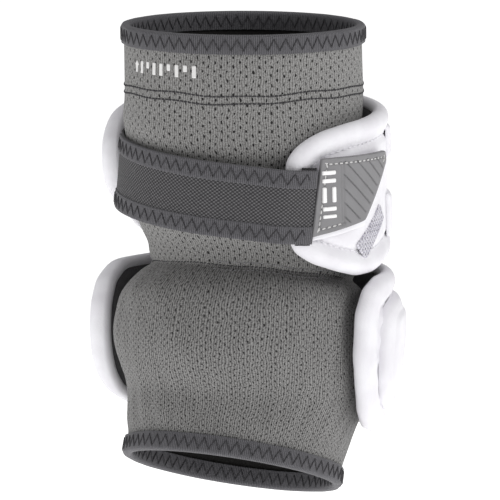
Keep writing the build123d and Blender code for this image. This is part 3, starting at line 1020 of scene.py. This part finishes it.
    def grip(self) -> None:
        """Silicone-coated band inside the top, just below the binding."""
        psi = np.linspace(-180, 180, 181)
        height = self.grip_height
        section = np.array([[0.0, 0.0], [1.0, 0.4], [1.0, height - 0.4], [0.0, height]])
        lift = -self.wall - 0.1 - section[None, :, 0] + 0 * psi[:, None]
        rings = self.form.point(self.grip_start + section[None, :, 1], psi[:, None], lift)
        faces, _ = grid_faces(len(psi), len(section), wrap=True)
        obj = make_piece("inner_grip_band", rings, faces, GripSilicone())
        close_seams(obj)
        settle(obj, Body.UPPER, ("grip_band",))

    def mark(self) -> None:
        """Printed direction mark: an arrow and a row of bars, with no lettering."""
        shapes = [[(0, 1), (1.9, -0.6), (0.75, -0.6), (0.75, -3), (-0.75, -3), (-0.75, -0.6), (-1.9, -0.6)]]
        heights = (4, 2.2, 4, 4, 2.2, 4, 2.2, 4)
        shapes += [[(-1.0, 0.9), (1.0, 0.9), (1.0, 0.9 - h), (-1.0, 0.9 - h)] for h in heights]
        bodies = []
        for k, shape in enumerate(shapes):
            middle = -36.0 + self.mark_step * k
            outline = [(middle + np.degrees(x / 53.6), -self.mark_depth + 1.35 * z) for x, z in shape]
            patch = Patch(outline, 0.6, 12, 14)
            d = -patch.z
            cloth = self.held(d, patch.psi)
            height = cloth + 0.1 + 0.22 * roll(patch.inset, 0.3)

            def place(psi: Array, z: Array, h: Array) -> Array:
                """Point on the arm tube, lifted by h."""
                return self.form.point(-z, psi, h)

            bodies.append(patch.solid(f"mark_{k}", place, height, cloth - 0.1, PRINT_INK))
        obj = join("printed_direction_mark", bodies)
        settle(obj, Body.UPPER, ("direction_mark",))

    def build(self) -> None:
        """Makes every piece of the sleeve."""
        self.binding("top_binding_fold", 0.0, 1, Body.UPPER, "top_binding")
        self.binding("bottom_binding_fold", 203.9, -1, Body.FOREARM, "bottom_binding")
        self.tube()
        self.stitch_rows()
        self.inside_seam("upper_inside_seam", 34, 113, "upper_back_seam")
        self.inside_seam("lower_inside_seam", 116, 193, "lower_back_seam")
        self.grip()
        self.mark()


def join(name: str, objects: Sequence[bpy.types.Object]) -> bpy.types.Object:
    """Joins mesh objects into the first one and names it."""
    with bpy.context.temp_override(active_object=objects[0], selected_editable_objects=list(objects)):
        bpy.ops.object.join()
    objects[0].name = objects[0].data.name = name
    return objects[0]


# ------------------------------------------------------------------ upper guard
GUARD = GuardForm()


@dataclass(frozen=True)
class UpperGuard:
    """Padded guard round the back of the upper arm."""

    outline: tuple[tuple[float, float], ...] = (
        (41.5, -56), (46, -50), (52, -46), (60, -43), (72, -41), (86, -40),
        (115, -38), (180, -35), (245, -36),
        (266, -39), (275, -42), (284, -48), (291, -54), (294, -61), (294, -69), (289, -77), (282, -83),
        (272, -90), (264, -98), (257, -103), (220, -101), (180, -100), (130, -103), (100, -108), (88, -110.5),
        (76, -110.5), (64, -107), (52, -102.5), (44, -97), (41.3, -88),
    )
    groove: float = 10.6  # from the edge to the groove behind the rim
    stitch_step: float = 3.4
    meet: float = 3.1  # height at which the outer and inner faces meet at the outline
    rim: float = 4.5  # how far the rim rises above that
    far_rim: float = 2.2  # how much further it rises at the -X side end
    # top and bottom of each raised block, then its two ends
    block_z: tuple[tuple[float, float], ...] = ((-46.0, -61.0), (-77.0, -97.0))
    block_psi: tuple[tuple[float, float], ...] = ((108, 252), (106, 254))
    vent_yz: tuple[tuple[float, float], ...] = ((15.6, -86.5), (9.5, -79.5), (-10.5, -96.0), (-3.5, -103.5))
    loop_yz: tuple[tuple[float, float], ...] = (
        (-29.5, -60.0), (1.5, -60.5), (4.0, -62.5), (-11.0, -80.0), (-29.5, -83.5),
    )

    def heights(self, d: Array, psi: Array, z: Array) -> tuple[Array, Array]:
        """Outer and inner height of the padded body at a distance from its edge.

        The rim is a half-round roll, a stitched groove follows it, and the field inside is crowned and
        slightly pillowed between its sewn lines.
        """
        full = self.rim + self.far_rim * ease(psi, 258, 278)
        rim = self.meet + full * roll(d, 4.6) * (1 - 0.40 * ease(d, 5.0, self.groove))
        groove = -1.1 * bump(d, self.groove + 0.4, 1.0)
        puckers = 0.18 * np.sin(psi * 2.6 + z * 0.5) * bump(d, self.groove, 2.4)
        field = 0.45 * ease(d, self.groove, self.groove + 5)
        clouds = 0.25 * np.sin(np.radians(psi) * 7 + 0.1 * z) * ease(d, 3, 8)
        inner = self.meet - 2.9 * roll(d, 3.2) + 0.95 * ease(d, 3.6, 5.0)
        return rim + groove + puckers + field + clouds * 0.6, inner

    def cover(self) -> Patch:
        """The padded body in its coated skin."""
        patch = Patch(self.outline, 5.0, 60, 300)
        outer, inner = self.heights(patch.inset, patch.psi, patch.z)
        obj = patch.solid("guard_padded_cover", GUARD.point, outer, inner, CoatedSkin())
        settle(obj, Body.UPPER, ("upper_pad_cover", "upper_pad_foam"))
        return patch

    def lining(self) -> None:
        """Brushed lining under the padded body, just inside its rim."""
        patch = inner_patch(self.outline, 4.2, 24, 160)
        outer = 0.55 + 0.5 * roll(patch.inset, 2.0)
        inner = 0.5 - 0.45 * roll(patch.inset, 2.0)
        obj = patch.solid("guard_lining_layer", GUARD.point, outer, inner, LiningKnit())
        settle(obj, Body.UPPER, ("upper_pad_lining",))

    def stitches(self, patch: Patch) -> None:
        """Stitches down in the groove behind the rolled rim."""
        psi, z = patch.line(self.groove, self.stitch_step)
        after = [np.roll(v, -1) for v in (psi, z)]
        middle = GUARD.point(psi, z, 5.35)
        along = unit(GUARD.point(*after, 5.35) - middle)
        out = unit(GUARD.point(psi, z, 9.0) - middle)
        beads = make_dashes("guard_rim_stitches", middle, along, out, 2.3, 0.6, THREAD_WHITE)
        settle(beads, Body.UPPER)

    def blocks(self) -> None:
        """Two raised foam blocks sewn across the back, each pillowed with rounded edges."""
        made = []
        for k, ((top, bottom), (low, high)) in enumerate(zip(self.block_z, self.block_psi)):
            outline = [(low, top), (high, top), (high, bottom), (low, bottom)]
            patch = Patch(outline, 2.5, 30, 150)
            parts = 0.5 * bump((patch.psi - low) % ((high - low) / 5), (high - low) / 10, 13) - 0.35
            outer = 6.2 + 2.35 * roll(patch.inset, 3.4) + parts * ease(patch.inset, 0.5, 4)
            made.append(patch.solid(f"block_{k}", GUARD.point, outer, 4.8 + 0 * patch.z, CoatedSkin()))
        obj = join("guard_back_blocks", made)
        settle(obj, Body.UPPER, ("upper_pad_segments",))

    def vent(self) -> None:
        """Ribbed mesh strip let into the side, below the tab."""
        yz = np.array(self.vent_yz)
        outline = list(zip(GUARD.psi_at(yz[:, 0], yz[:, 1], 6.5), yz[:, 1]))
        patch = Patch(outline, 2.0, 26, 40)
        ribs = 0.25 * np.sin((patch.a - patch.z) * 2 * np.pi / 2.0)
        outer = 6.3 + 0.75 * roll(patch.inset, 0.9) + ribs * ease(patch.inset, 0.2, 1.0)
        obj = patch.solid("guard_vent_strip", GUARD.point, outer, 5.2 + 0 * patch.z, SpacerMesh())
        settle(obj, Body.UPPER, ("upper_pad_vent",))

    def loop(self) -> None:
        """Loop pile patch that the tab sticks to."""
        yz = np.array(self.loop_yz)
        outline = list(zip(GUARD.psi_at(yz[:, 0], yz[:, 1], 7.0), yz[:, 1]))
        patch = Patch(outline, 1.5, 24, 30)
        outer = 6.35 + 0.45 * roll(patch.inset, 0.6)
        obj = patch.solid("guard_loop_patch", GUARD.point, outer, 5.6 + 0 * patch.z, LOOP_PILE)
        settle(obj, Body.UPPER, ("loop_patch",))

    def plate(self) -> None:
        """Thin stiffening sheet inside the padding."""
        patch = Patch(((62, -62), (62, -84), (276, -80), (276, -62)), 6.0, 16, 70)
        outer = 4.1 + 0.8 * roll(patch.inset, 1.0)
        obj = patch.solid("guard_stiffener", GUARD.point, outer, 4.0 + 0 * patch.z, PE_SHEET)
        settle(obj, Body.UPPER, ("upper_pad_plate",))

    def build(self) -> None:
        """Makes every piece of the guard."""
        patch = self.cover()
        self.plate()
        self.lining()
        self.stitches(patch)
        self.blocks()
        self.vent()
        self.loop()


# ------------------------------------------------------------------ elbow cap
CAP = CapForm()


@dataclass(frozen=True)
class ElbowCap:
    """Padded cup over the elbow with a raised hard shell."""

    outline: tuple[tuple[float, float], ...] = (
        (92, -111.8), (82, -115.5), (75.5, -126), (73.5, -145), (76, -160), (80, -172), (88, -181),
        (108, -187), (180, -190), (245, -186), (264, -181.5), (275, -174.5), (282, -165), (285.5, -155),
        (287, -144), (286, -130), (280, -119), (268, -112.5), (235, -112.5), (180, -114), (125, -112.5),
    )
    shell_outline: tuple[tuple[float, float], ...] = (
        (101, -123.4), (93, -126), (89.4, -133), (88.2, -145), (89.2, -158), (93, -169), (102, -175.5),
        (180, -178.6), (252, -174), (264, -169), (270, -158), (271.8, -145), (270.6, -133), (267, -126),
        (259, -123.4), (180, -124.6),
    )
    groove: float = 10.3  # from the edge to the groove between rim and shell
    meet: float = 3.4  # height at which the outer and inner faces meet at the outline
    rim: float = 4.1  # how far the rim rises above that
    far_rim: float = 3.0  # how much further it rises at the -X side end
    dome_z: tuple[float, ...] = (-182.0, -172.5, -162.0, -147.0, -134.0, -124.0, -114.0)
    dome: tuple[float, ...] = (0.0, 0.2, 0.9, 1.6, 2.2, 1.4, 0.2)  # rise of the shell at those heights
    cup_outline: tuple[tuple[float, float], ...] = ((99, -128), (99, -161), (261, -161), (261, -128))

    def cover(self) -> None:
        """The rolled rim and the bed of the shell, in coated skin with puckers along the groove."""
        patch = Patch(self.outline, 5.0, 70, 280)
        d = patch.inset / (1 + 0.35 * ease(np.abs(patch.psi - 180), 70, 90))
        full = self.rim + self.far_rim * ease(patch.psi, 252, 272)
        rim = self.meet + full * roll(patch.inset, 4.6) * (1 - 0.3 * ease(d, 5.2, self.groove))
        around = np.arctan2(patch.z + 147, 60 - np.abs(patch.a - 188.5) % 120)
        puckers = 0.35 * np.sin(around * 26) * bump(d, self.groove, 2.0)
        outer = rim - 1.9 * bump(d, self.groove, 1.3) + puckers + 0.5 * ease(d, self.groove, 11)
        inner = self.meet - 3.2 * roll(patch.inset, 3.4) + 0.95 * ease(patch.inset, 3.8, 5.4)
        obj = patch.solid("cap_padded_cover", CAP.point, outer, inner, CoatedSkin())
        settle(obj, Body.FOREARM, ("cap_cover", "cap_foam"))

    def lining(self) -> None:
        """Dark brushed lining that shows as a thin line behind the rim."""
        patch = inner_patch(self.outline, 4.6, 24, 140)
        outer = 0.6 + 0.45 * roll(patch.inset, 2.0)
        inner = 0.55 - 0.5 * roll(patch.inset, 2.0)
        obj = patch.solid("cap_lining_layer", CAP.point, outer, inner, LiningKnit())
        settle(obj, Body.FOREARM, ("cap_lining",))

    def shell(self) -> None:
        """Raised shell with a steep shoulder and a dome over the elbow's point, and the hard cup under it."""
        patch = Patch(self.shell_outline, 6.0, 90, 220)
        d = patch.inset
        by_height = smooth_curve(patch.z, self.dome_z, self.dome)
        dent = 0.18 * np.sin(patch.psi / 9 + patch.z / 13) * ease(d, 4, 10)
        outer = 5.3 + 4.1 * roll(d, 3.2) + by_height * ease(d, 1.5, 9.0) + dent - 0.45 * bump(d, 6.0, 0.9)
        obj = patch.solid("cap_raised_shell", CAP.point, outer, 4.6 + 0 * patch.z, CoatedSkin())
        settle(obj, Body.FOREARM, ("cap_shell",))
        cup = Patch(self.cup_outline, 8.0, 20, 60)
        outer = 7.0 + 0.7 * roll(cup.inset, 1.0)
        sheet = cup.solid("cap_hard_cup_sheet", CAP.point, outer, 6.9 + 0 * cup.z, PE_SHEET)
        settle(sheet, Body.FOREARM, ("cap_hard_cup",))

    def build(self) -> None:
        """Makes every piece of the cap."""
        self.cover()
        self.lining()
        self.shell()


# ------------------------------------------------------------------ strap
@dataclass(frozen=True)
class Strap:
    """Woven strap with bound edges that crosses the front and ends on the guard."""

    width: float = 33.0
    tilt: float = 5.5
    mid_z: float = -71.2
    axis_y: float = -0.2
    web: float = 1.2
    ply: float = 0.5
    bound: float = 8.0  # width of the bindings
    seat: float = 56.0  # radius where the strap lies on the arm
    pitch: float = 5.2  # zigzag stitch
    start: float = -63.5
    end: float = 55.2
    sewn: tuple[float, float] = (-62.0, -93.0)  # angles between which the sewn-in end runs under the guard
    zigzag_stop: float = 2.6  # degrees of the run that the zigzag leaves free
    wrap: float = 6.4  # degrees that the end wrap covers
    knots: tuple[float, ...] = (-63.5, -30, 8, 17, 25, 33, 41.6, 47, 55.3)
    radii: tuple[float, ...] = (56.0, 56.0, 56.0, 56.1, 56.8, 58.9, 62.15, 62.6, 62.9)

    def frame(self, psi: Array) -> tuple[Array, Array, Array]:
        """Centre line, width direction and outward direction at angles round the arm."""
        s, c = turned(psi)
        r = smooth_curve(psi, self.knots, self.radii)
        ts, tc = turned(self.tilt)
        flat = np.stack([r * s, self.axis_y - r * c], -1)
        centre = np.stack([flat[:, 0] * tc, flat[:, 1], self.mid_z - flat[:, 0] * ts], -1)
        side = np.broadcast_to(np.array([ts, 0, tc]), centre.shape)
        out = unit(np.cross(unit(np.gradient(centre, axis=0)), side))
        return centre, side, out

    def band(
        self, name: str, section: Array, finish: Finish, start: float, end: float
    ) -> bpy.types.Object:
        """Carries a (width, thickness) section along the centre line between two angles.

        Args:
            name: name of the piece.
            section: closed loop of (sideways, outwards) points.
            finish: finish of the piece.
            start: angle where it starts.
            end: angle where it ends.

        Returns:
            The linked object.
        """
        psi = np.linspace(start, end, int((end - start) * 1.2) + 2)
        centre, side, out = self.frame(psi)
        rings = centre[:, None] + section[None, :, :1] * side[:, None] + section[None, :, 1:] * out[:, None]
        run = np.concatenate([[0], np.cumsum(np.linalg.norm(np.diff(centre, axis=0), axis=1))])
        return make_tube(name, rings, finish, uv=(run, self.girth(section)))

    @staticmethod
    def girth(section: Array) -> Array:
        """Distance round a closed section at each of its points and back at the first."""
        step = np.linalg.norm(np.diff(np.vstack([section, section[:1]]), axis=0), axis=1)
        return np.concatenate([[0], np.cumsum(step)])

    @staticmethod
    def loop(low: float, high: float, half: float, round_: float) -> Array:
        """Closed section between two widths with rounded corners, its faces cut into short steps."""
        across = np.linspace(low + round_, high - round_, 7)
        face = np.stack([across, 0 * across + half], -1)
        ends = [[high - 0.3 * round_, half - 0.3 * round_], [high, half - round_]]
        back = np.array(ends) * (1, -1)
        other = [[low, half - round_], [low + 0.3 * round_, half - 0.3 * round_]]
        under = np.array(other)[::-1] * (1, -1)
        return np.concatenate([face, ends, back[::-1], face[::-1] * (1, -1), under, other])

    def build(self) -> None:
        """Makes the webbing, its bindings and zigzags, the end wrap and the sewn-in end."""
        half = self.width / 2
        thick = self.web / 2
        skin = thick + self.ply
        flat = self.loop(-half + 0.7, half - 0.7, thick, 0.25)
        web = self.band("strap_web", flat, WovenWeb(), self.start, self.end)
        settle(web, Body.STRAP, ("strap_webbing",))
        for name, low, high in (("top", half - self.bound, half), ("bottom", -half, self.bound - half)):
            edge = self.loop(low, high, skin, 0.45)
            fold = self.band(f"strap_{name}_fold", edge, FoldElastic(), self.start, self.end)
            settle(fold, Body.STRAP, (f"strap_{name}_binding",))
            run = self.seat * np.radians(self.end - self.start)
            share, side = zigzag(int(run / self.pitch))
            psi = self.start + (self.end - self.start - self.zigzag_stop) * share + 0.5
            centre, across, out = self.frame(psi)
            middle = (low + high) / 2 + side * self.bound * 0.31
            path = centre + middle[:, None] * across + (skin + 0.12) * out
            thread = make_thread(f"strap_{name}_zigzag", path, out, THREAD_RADIUS, THREAD_DARK)
            settle(thread, Body.STRAP)
        wrap = self.loop(-half - 1.0, half + 1.0, 0.35, 0.2) - (0, skin + 0.4)
        end_wrap = self.band("strap_end_fold", wrap, TapeWeave(), self.end - self.wrap, self.end + 0.3)
        settle(end_wrap, Body.STRAP, ("strap_end_wrap",))
        psi = np.linspace(*self.sewn, 30)
        z = self.mid_z + self.seat * np.tan(np.radians(self.tilt)) + 0 * psi
        section = self.loop(-half + 0.3, half - 0.3, thick - 0.05, 0.25)
        rings = GUARD.point(psi[:, None], z[:, None] + section[None, :, 0], -0.75 + section[None, :, 1])
        run = np.abs(psi - psi[0]) * np.radians(self.seat)
        anchor = make_tube("strap_sewn_end", rings, WovenWeb(), uv=(run, self.girth(section)))
        settle(anchor, Body.UPPER, ("strap_anchor",))


# ------------------------------------------------------------------ pull tab
@dataclass(frozen=True)
class PullTab:
    """Moulded tab on a white backing, stuck to the loop patch."""

    face: tuple[tuple[float, float], ...] = (
        (-34.8, -54.4), (6.8, -55.0), (8.4, -59.4), (-10.0, -84.6), (-36.8, -89.5),
    )
    back: tuple[tuple[float, float], ...] = (
        (-33.4, -55.2), (7.6, -55.8), (11.2, -60.0), (-8.2, -87.2), (-35.2, -91.4),
    )
    bars: tuple[tuple[float, float, float, float], ...] = (  # top, bottom, left and right of the mark's bars
        (-60.0, -61.9, 5.0, 11.4), (-63.6, -65.5, 5.0, 11.4), (-67.4, -74.4, 5.0, 6.9),
        (-67.4, -74.4, 9.5, 11.4), (-76.2, -78.1, 5.0, 11.4), (-79.8, -81.4, 5.0, 11.4),
    )
    rib_pitch: float = 6.4  # spacing of the slanted grooves
    stitch_inset: float = 2.7
    stitch_height: float = 10.38

    def outline(self, corners: Sequence[tuple[float, float]], h: float) -> list[tuple[float, float]]:
        """Outline corners as angles and heights, with extra points so that long sides stay straight."""
        loop = np.array(list(corners) + [corners[0]])
        yz = np.concatenate([np.linspace(p, q, 12, endpoint=False) for p, q in zip(loop, loop[1:])])
        return list(zip(GUARD.psi_at(yz[:, 0], yz[:, 1], h), yz[:, 1]))

    def build(self) -> None:
        """Makes the backing, grooved face, its stitches and the raised mark, and dresses the hook patch."""
        back = Patch(self.outline(self.back, 8.4), 1.6, 40, 48)
        outer = 8.3 + 0.75 * roll(back.inset, 0.8)
        obj = back.solid("tab_backing_sheet", GUARD.point, outer, 8.0 + 0 * back.z, CoatedSkin())
        settle(obj, Body.TAB, ("tab_backing",))
        face = Patch(self.outline(self.face, 10.0), 1.3, 150, 170)
        y0 = float(face.a.min())
        across, z = face.a - y0, face.z
        right = ease(across, 15.5, 16.3)
        diagonal = np.abs(((across + 1.0 * (z + 72)) / self.rib_pitch) % 1 - 0.5)
        grooves = ease(diagonal, 0.43, 0.47) * right * ease(face.inset, 1.6, 2.4)
        lip = 0.35 * (1 - ease(across, 2.0, 2.4))
        double = 0.45 * (bump(across, 14.2, 0.35) + bump(across, 15.6, 0.35)) * ease(face.inset, 1.2, 2.0)
        channel = 0.45 * bump(face.inset, self.stitch_inset, 0.45) * np.maximum(1 - right, ease(z, -61, -59))
        outer = 9.1 + 1.45 * roll(face.inset, 0.5) - 0.8 * grooves - double + lip - channel
        rubber = face.solid("tab_moulded_face", GUARD.point, outer, 9.0 + 0 * z, MouldedRubber())
        settle(rubber, Body.TAB, ("tab_rubber",))
        psi, z = face.line(self.stitch_inset, 2.6)
        a = psi * np.radians(face.unrolled)
        middle = GUARD.point(psi, z, self.stitch_height)
        along = unit(GUARD.point(np.roll(psi, -1), np.roll(z, -1), self.stitch_height) - middle)
        out = unit(GUARD.point(psi, z, 14) - middle)
        show = (a - y0 < 14) | (z > -60)
        beads = make_dashes("tab_stitches", middle[show], along[show], out[show], 1.8, 0.75, THREAD_LIGHT)
        settle(beads, Body.TAB)
        self.mark(y0)
        dress("tab_hook_patch", HOOK_TAPE)

    def mark(self, y0: float) -> None:
        """Raised generic mark: plain bars in a column down the ungrooved third of the tab."""
        made = []
        for k, (low, high, left, right) in enumerate(self.bars):
            ends = [np.degrees((y0 + v) / Patch.unrolled) for v in (left, right)]
            patch = Patch([(ends[0], low), (ends[1], low), (ends[1], high), (ends[0], high)], 0.7, 14, 14)
            outer = 10.4 + 0.75 * roll(patch.inset, 0.35)
            made.append(patch.solid(f"bar_{k}", GUARD.point, outer, 10.3 + 0 * patch.z, MARK_RUBBER))
        obj = join("tab_raised_mark", made)
        settle(obj, Body.TAB, ("tab_emblem",))


def dress(name: str, finish: Finish) -> None:
    """Gives a CAD node that stays a finish of its own."""
    mesh = bpy.data.objects[name].data
    mesh.materials.clear()
    mesh.materials.append(finish.material())
    log.info("%s keeps its solid, dressed as %s", name, finish.name)


# ------------------------------------------------------------------ studio
@dataclass(frozen=True)
class Studio:
    """Pale floor, white surroundings, three soft panels and the camera."""

    azimuth: float = 25.0
    elevation: float = 9.0
    distance: float = 1.9  # from the camera to the object, in metres
    aside: float = 0.00315  # how far right of and below the origin the camera aims, in metres
    below: float = 0.1024
    frame_width: float = 0.225  # width of the view at the object, in metres
    sensor: float = 36.0
    fill: float = 0.30  # brightness of the room as a light
    floor_drop: float = 300.0  # floor's depth below the top opening, in millimetres
    floor_reach: float = 6000.0

    def axes(self) -> tuple[Array, Array, Array]:
        """Right, up and backward directions of the camera."""
        s, c = turned(self.azimuth)
        es, ec = turned(self.elevation)
        right = np.array([c, s, 0.0])
        back = np.array([s * ec, -c * ec, es])
        return right, np.cross(back, right), back

    def build(self) -> None:
        """Makes the camera, the lights, the world and the floor."""
        right, up, back = self.axes()
        target = right * self.aside - up * self.below
        data = bpy.data.cameras.new("camera")
        data.sensor_width = self.sensor
        data.lens = self.sensor * self.distance / self.frame_width
        camera = bpy.data.objects.new("camera", data)
        camera.matrix_world = placed(right, up, back, target + back * self.distance)
        bpy.context.scene.collection.objects.link(camera)
        bpy.context.scene.camera = camera
        for name, side, height, near, size, power in (
            ("key_panel", 0.9, 0.45, 0.42, 0.6, 4.2),
            ("left_panel", -0.92, 0.15, 0.3, 0.7, 2.0),
            ("top_panel", 0.0, 1.1, 0.25, 0.8, 2.5),
        ):
            lamp = bpy.data.lights.new(name, "AREA")
            lamp.size, lamp.energy = size, power
            light = bpy.data.objects.new(name, lamp)
            place = target + right * side + up * height + back * near
            aim = unit(place - target)
            across = unit(np.cross(np.array([0.0, 0.0, 1.0]), aim))
            light.matrix_world = placed(across, np.cross(aim, across), aim, place)
            bpy.context.scene.collection.objects.link(light)
        world = bpy.data.worlds.new("white_room")
        world.use_nodes = True
        room = world.node_tree
        room.nodes["Background"].inputs["Color"].default_value = (1, 1, 1, 1)
        seen, level = room.nodes.new("ShaderNodeLightPath"), room.nodes.new("ShaderNodeMath")
        level.operation = "MULTIPLY_ADD"  # the room lights at the fill level and is seen as plain white
        level.inputs[1].default_value, level.inputs[2].default_value = 1 - self.fill, self.fill
        room.links.new(seen.outputs["Is Camera Ray"], level.inputs[0])
        room.links.new(level.outputs[0], room.nodes["Background"].inputs["Strength"])
        bpy.context.scene.world = world
        bpy.context.scene.view_settings.view_transform = "Standard"
        signs = np.array([[-1, -1], [1, -1], [1, 1], [-1, 1]])
        corners = np.insert(signs * self.floor_reach, 2, -self.floor_drop, axis=1)
        floor = make_piece("studio_floor", corners, np.array([[0, 1, 2, 3]]), FloorPaper())


class FloorPaper(Finish):
    """White seamless paper, lit so brightly that it stays white."""

    name = "white_seamless_paper"
    roughness = 1.0
    specular = 0.0

    def pattern(self, tree: bpy.types.NodeTree) -> tuple[Any, Any]:
        """Plain white with its own glow."""
        shader = tree.nodes["Principled BSDF"]
        shader.inputs["Emission Color"].default_value = (1, 1, 1, 1)
        shader.inputs["Emission Strength"].default_value = 0.8
        return "#fdfdfd", None


def placed(x: Array, y: Array, z: Array, at: Array) -> Matrix:
    """World matrix with the given axes and place."""
    matrix = np.eye(4)
    matrix[:3, :] = np.stack([x, y, z, at], -1)
    return Matrix(matrix.tolist())


# ------------------------------------------------------------------ whole object
def main() -> None:
    """Loads the frame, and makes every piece."""
    logging.basicConfig(level=logging.INFO, format="%(message)s")
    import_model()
    Studio().build()
    Sleeve().build()
    UpperGuard().build()
    ElbowCap().build()
    Strap().build()
    PullTab().build()
    dress("upper_pad_tack", HOOK_TAPE)
    dress("cap_tack", HOOK_TAPE)


if __name__ == "__main__":
    main()
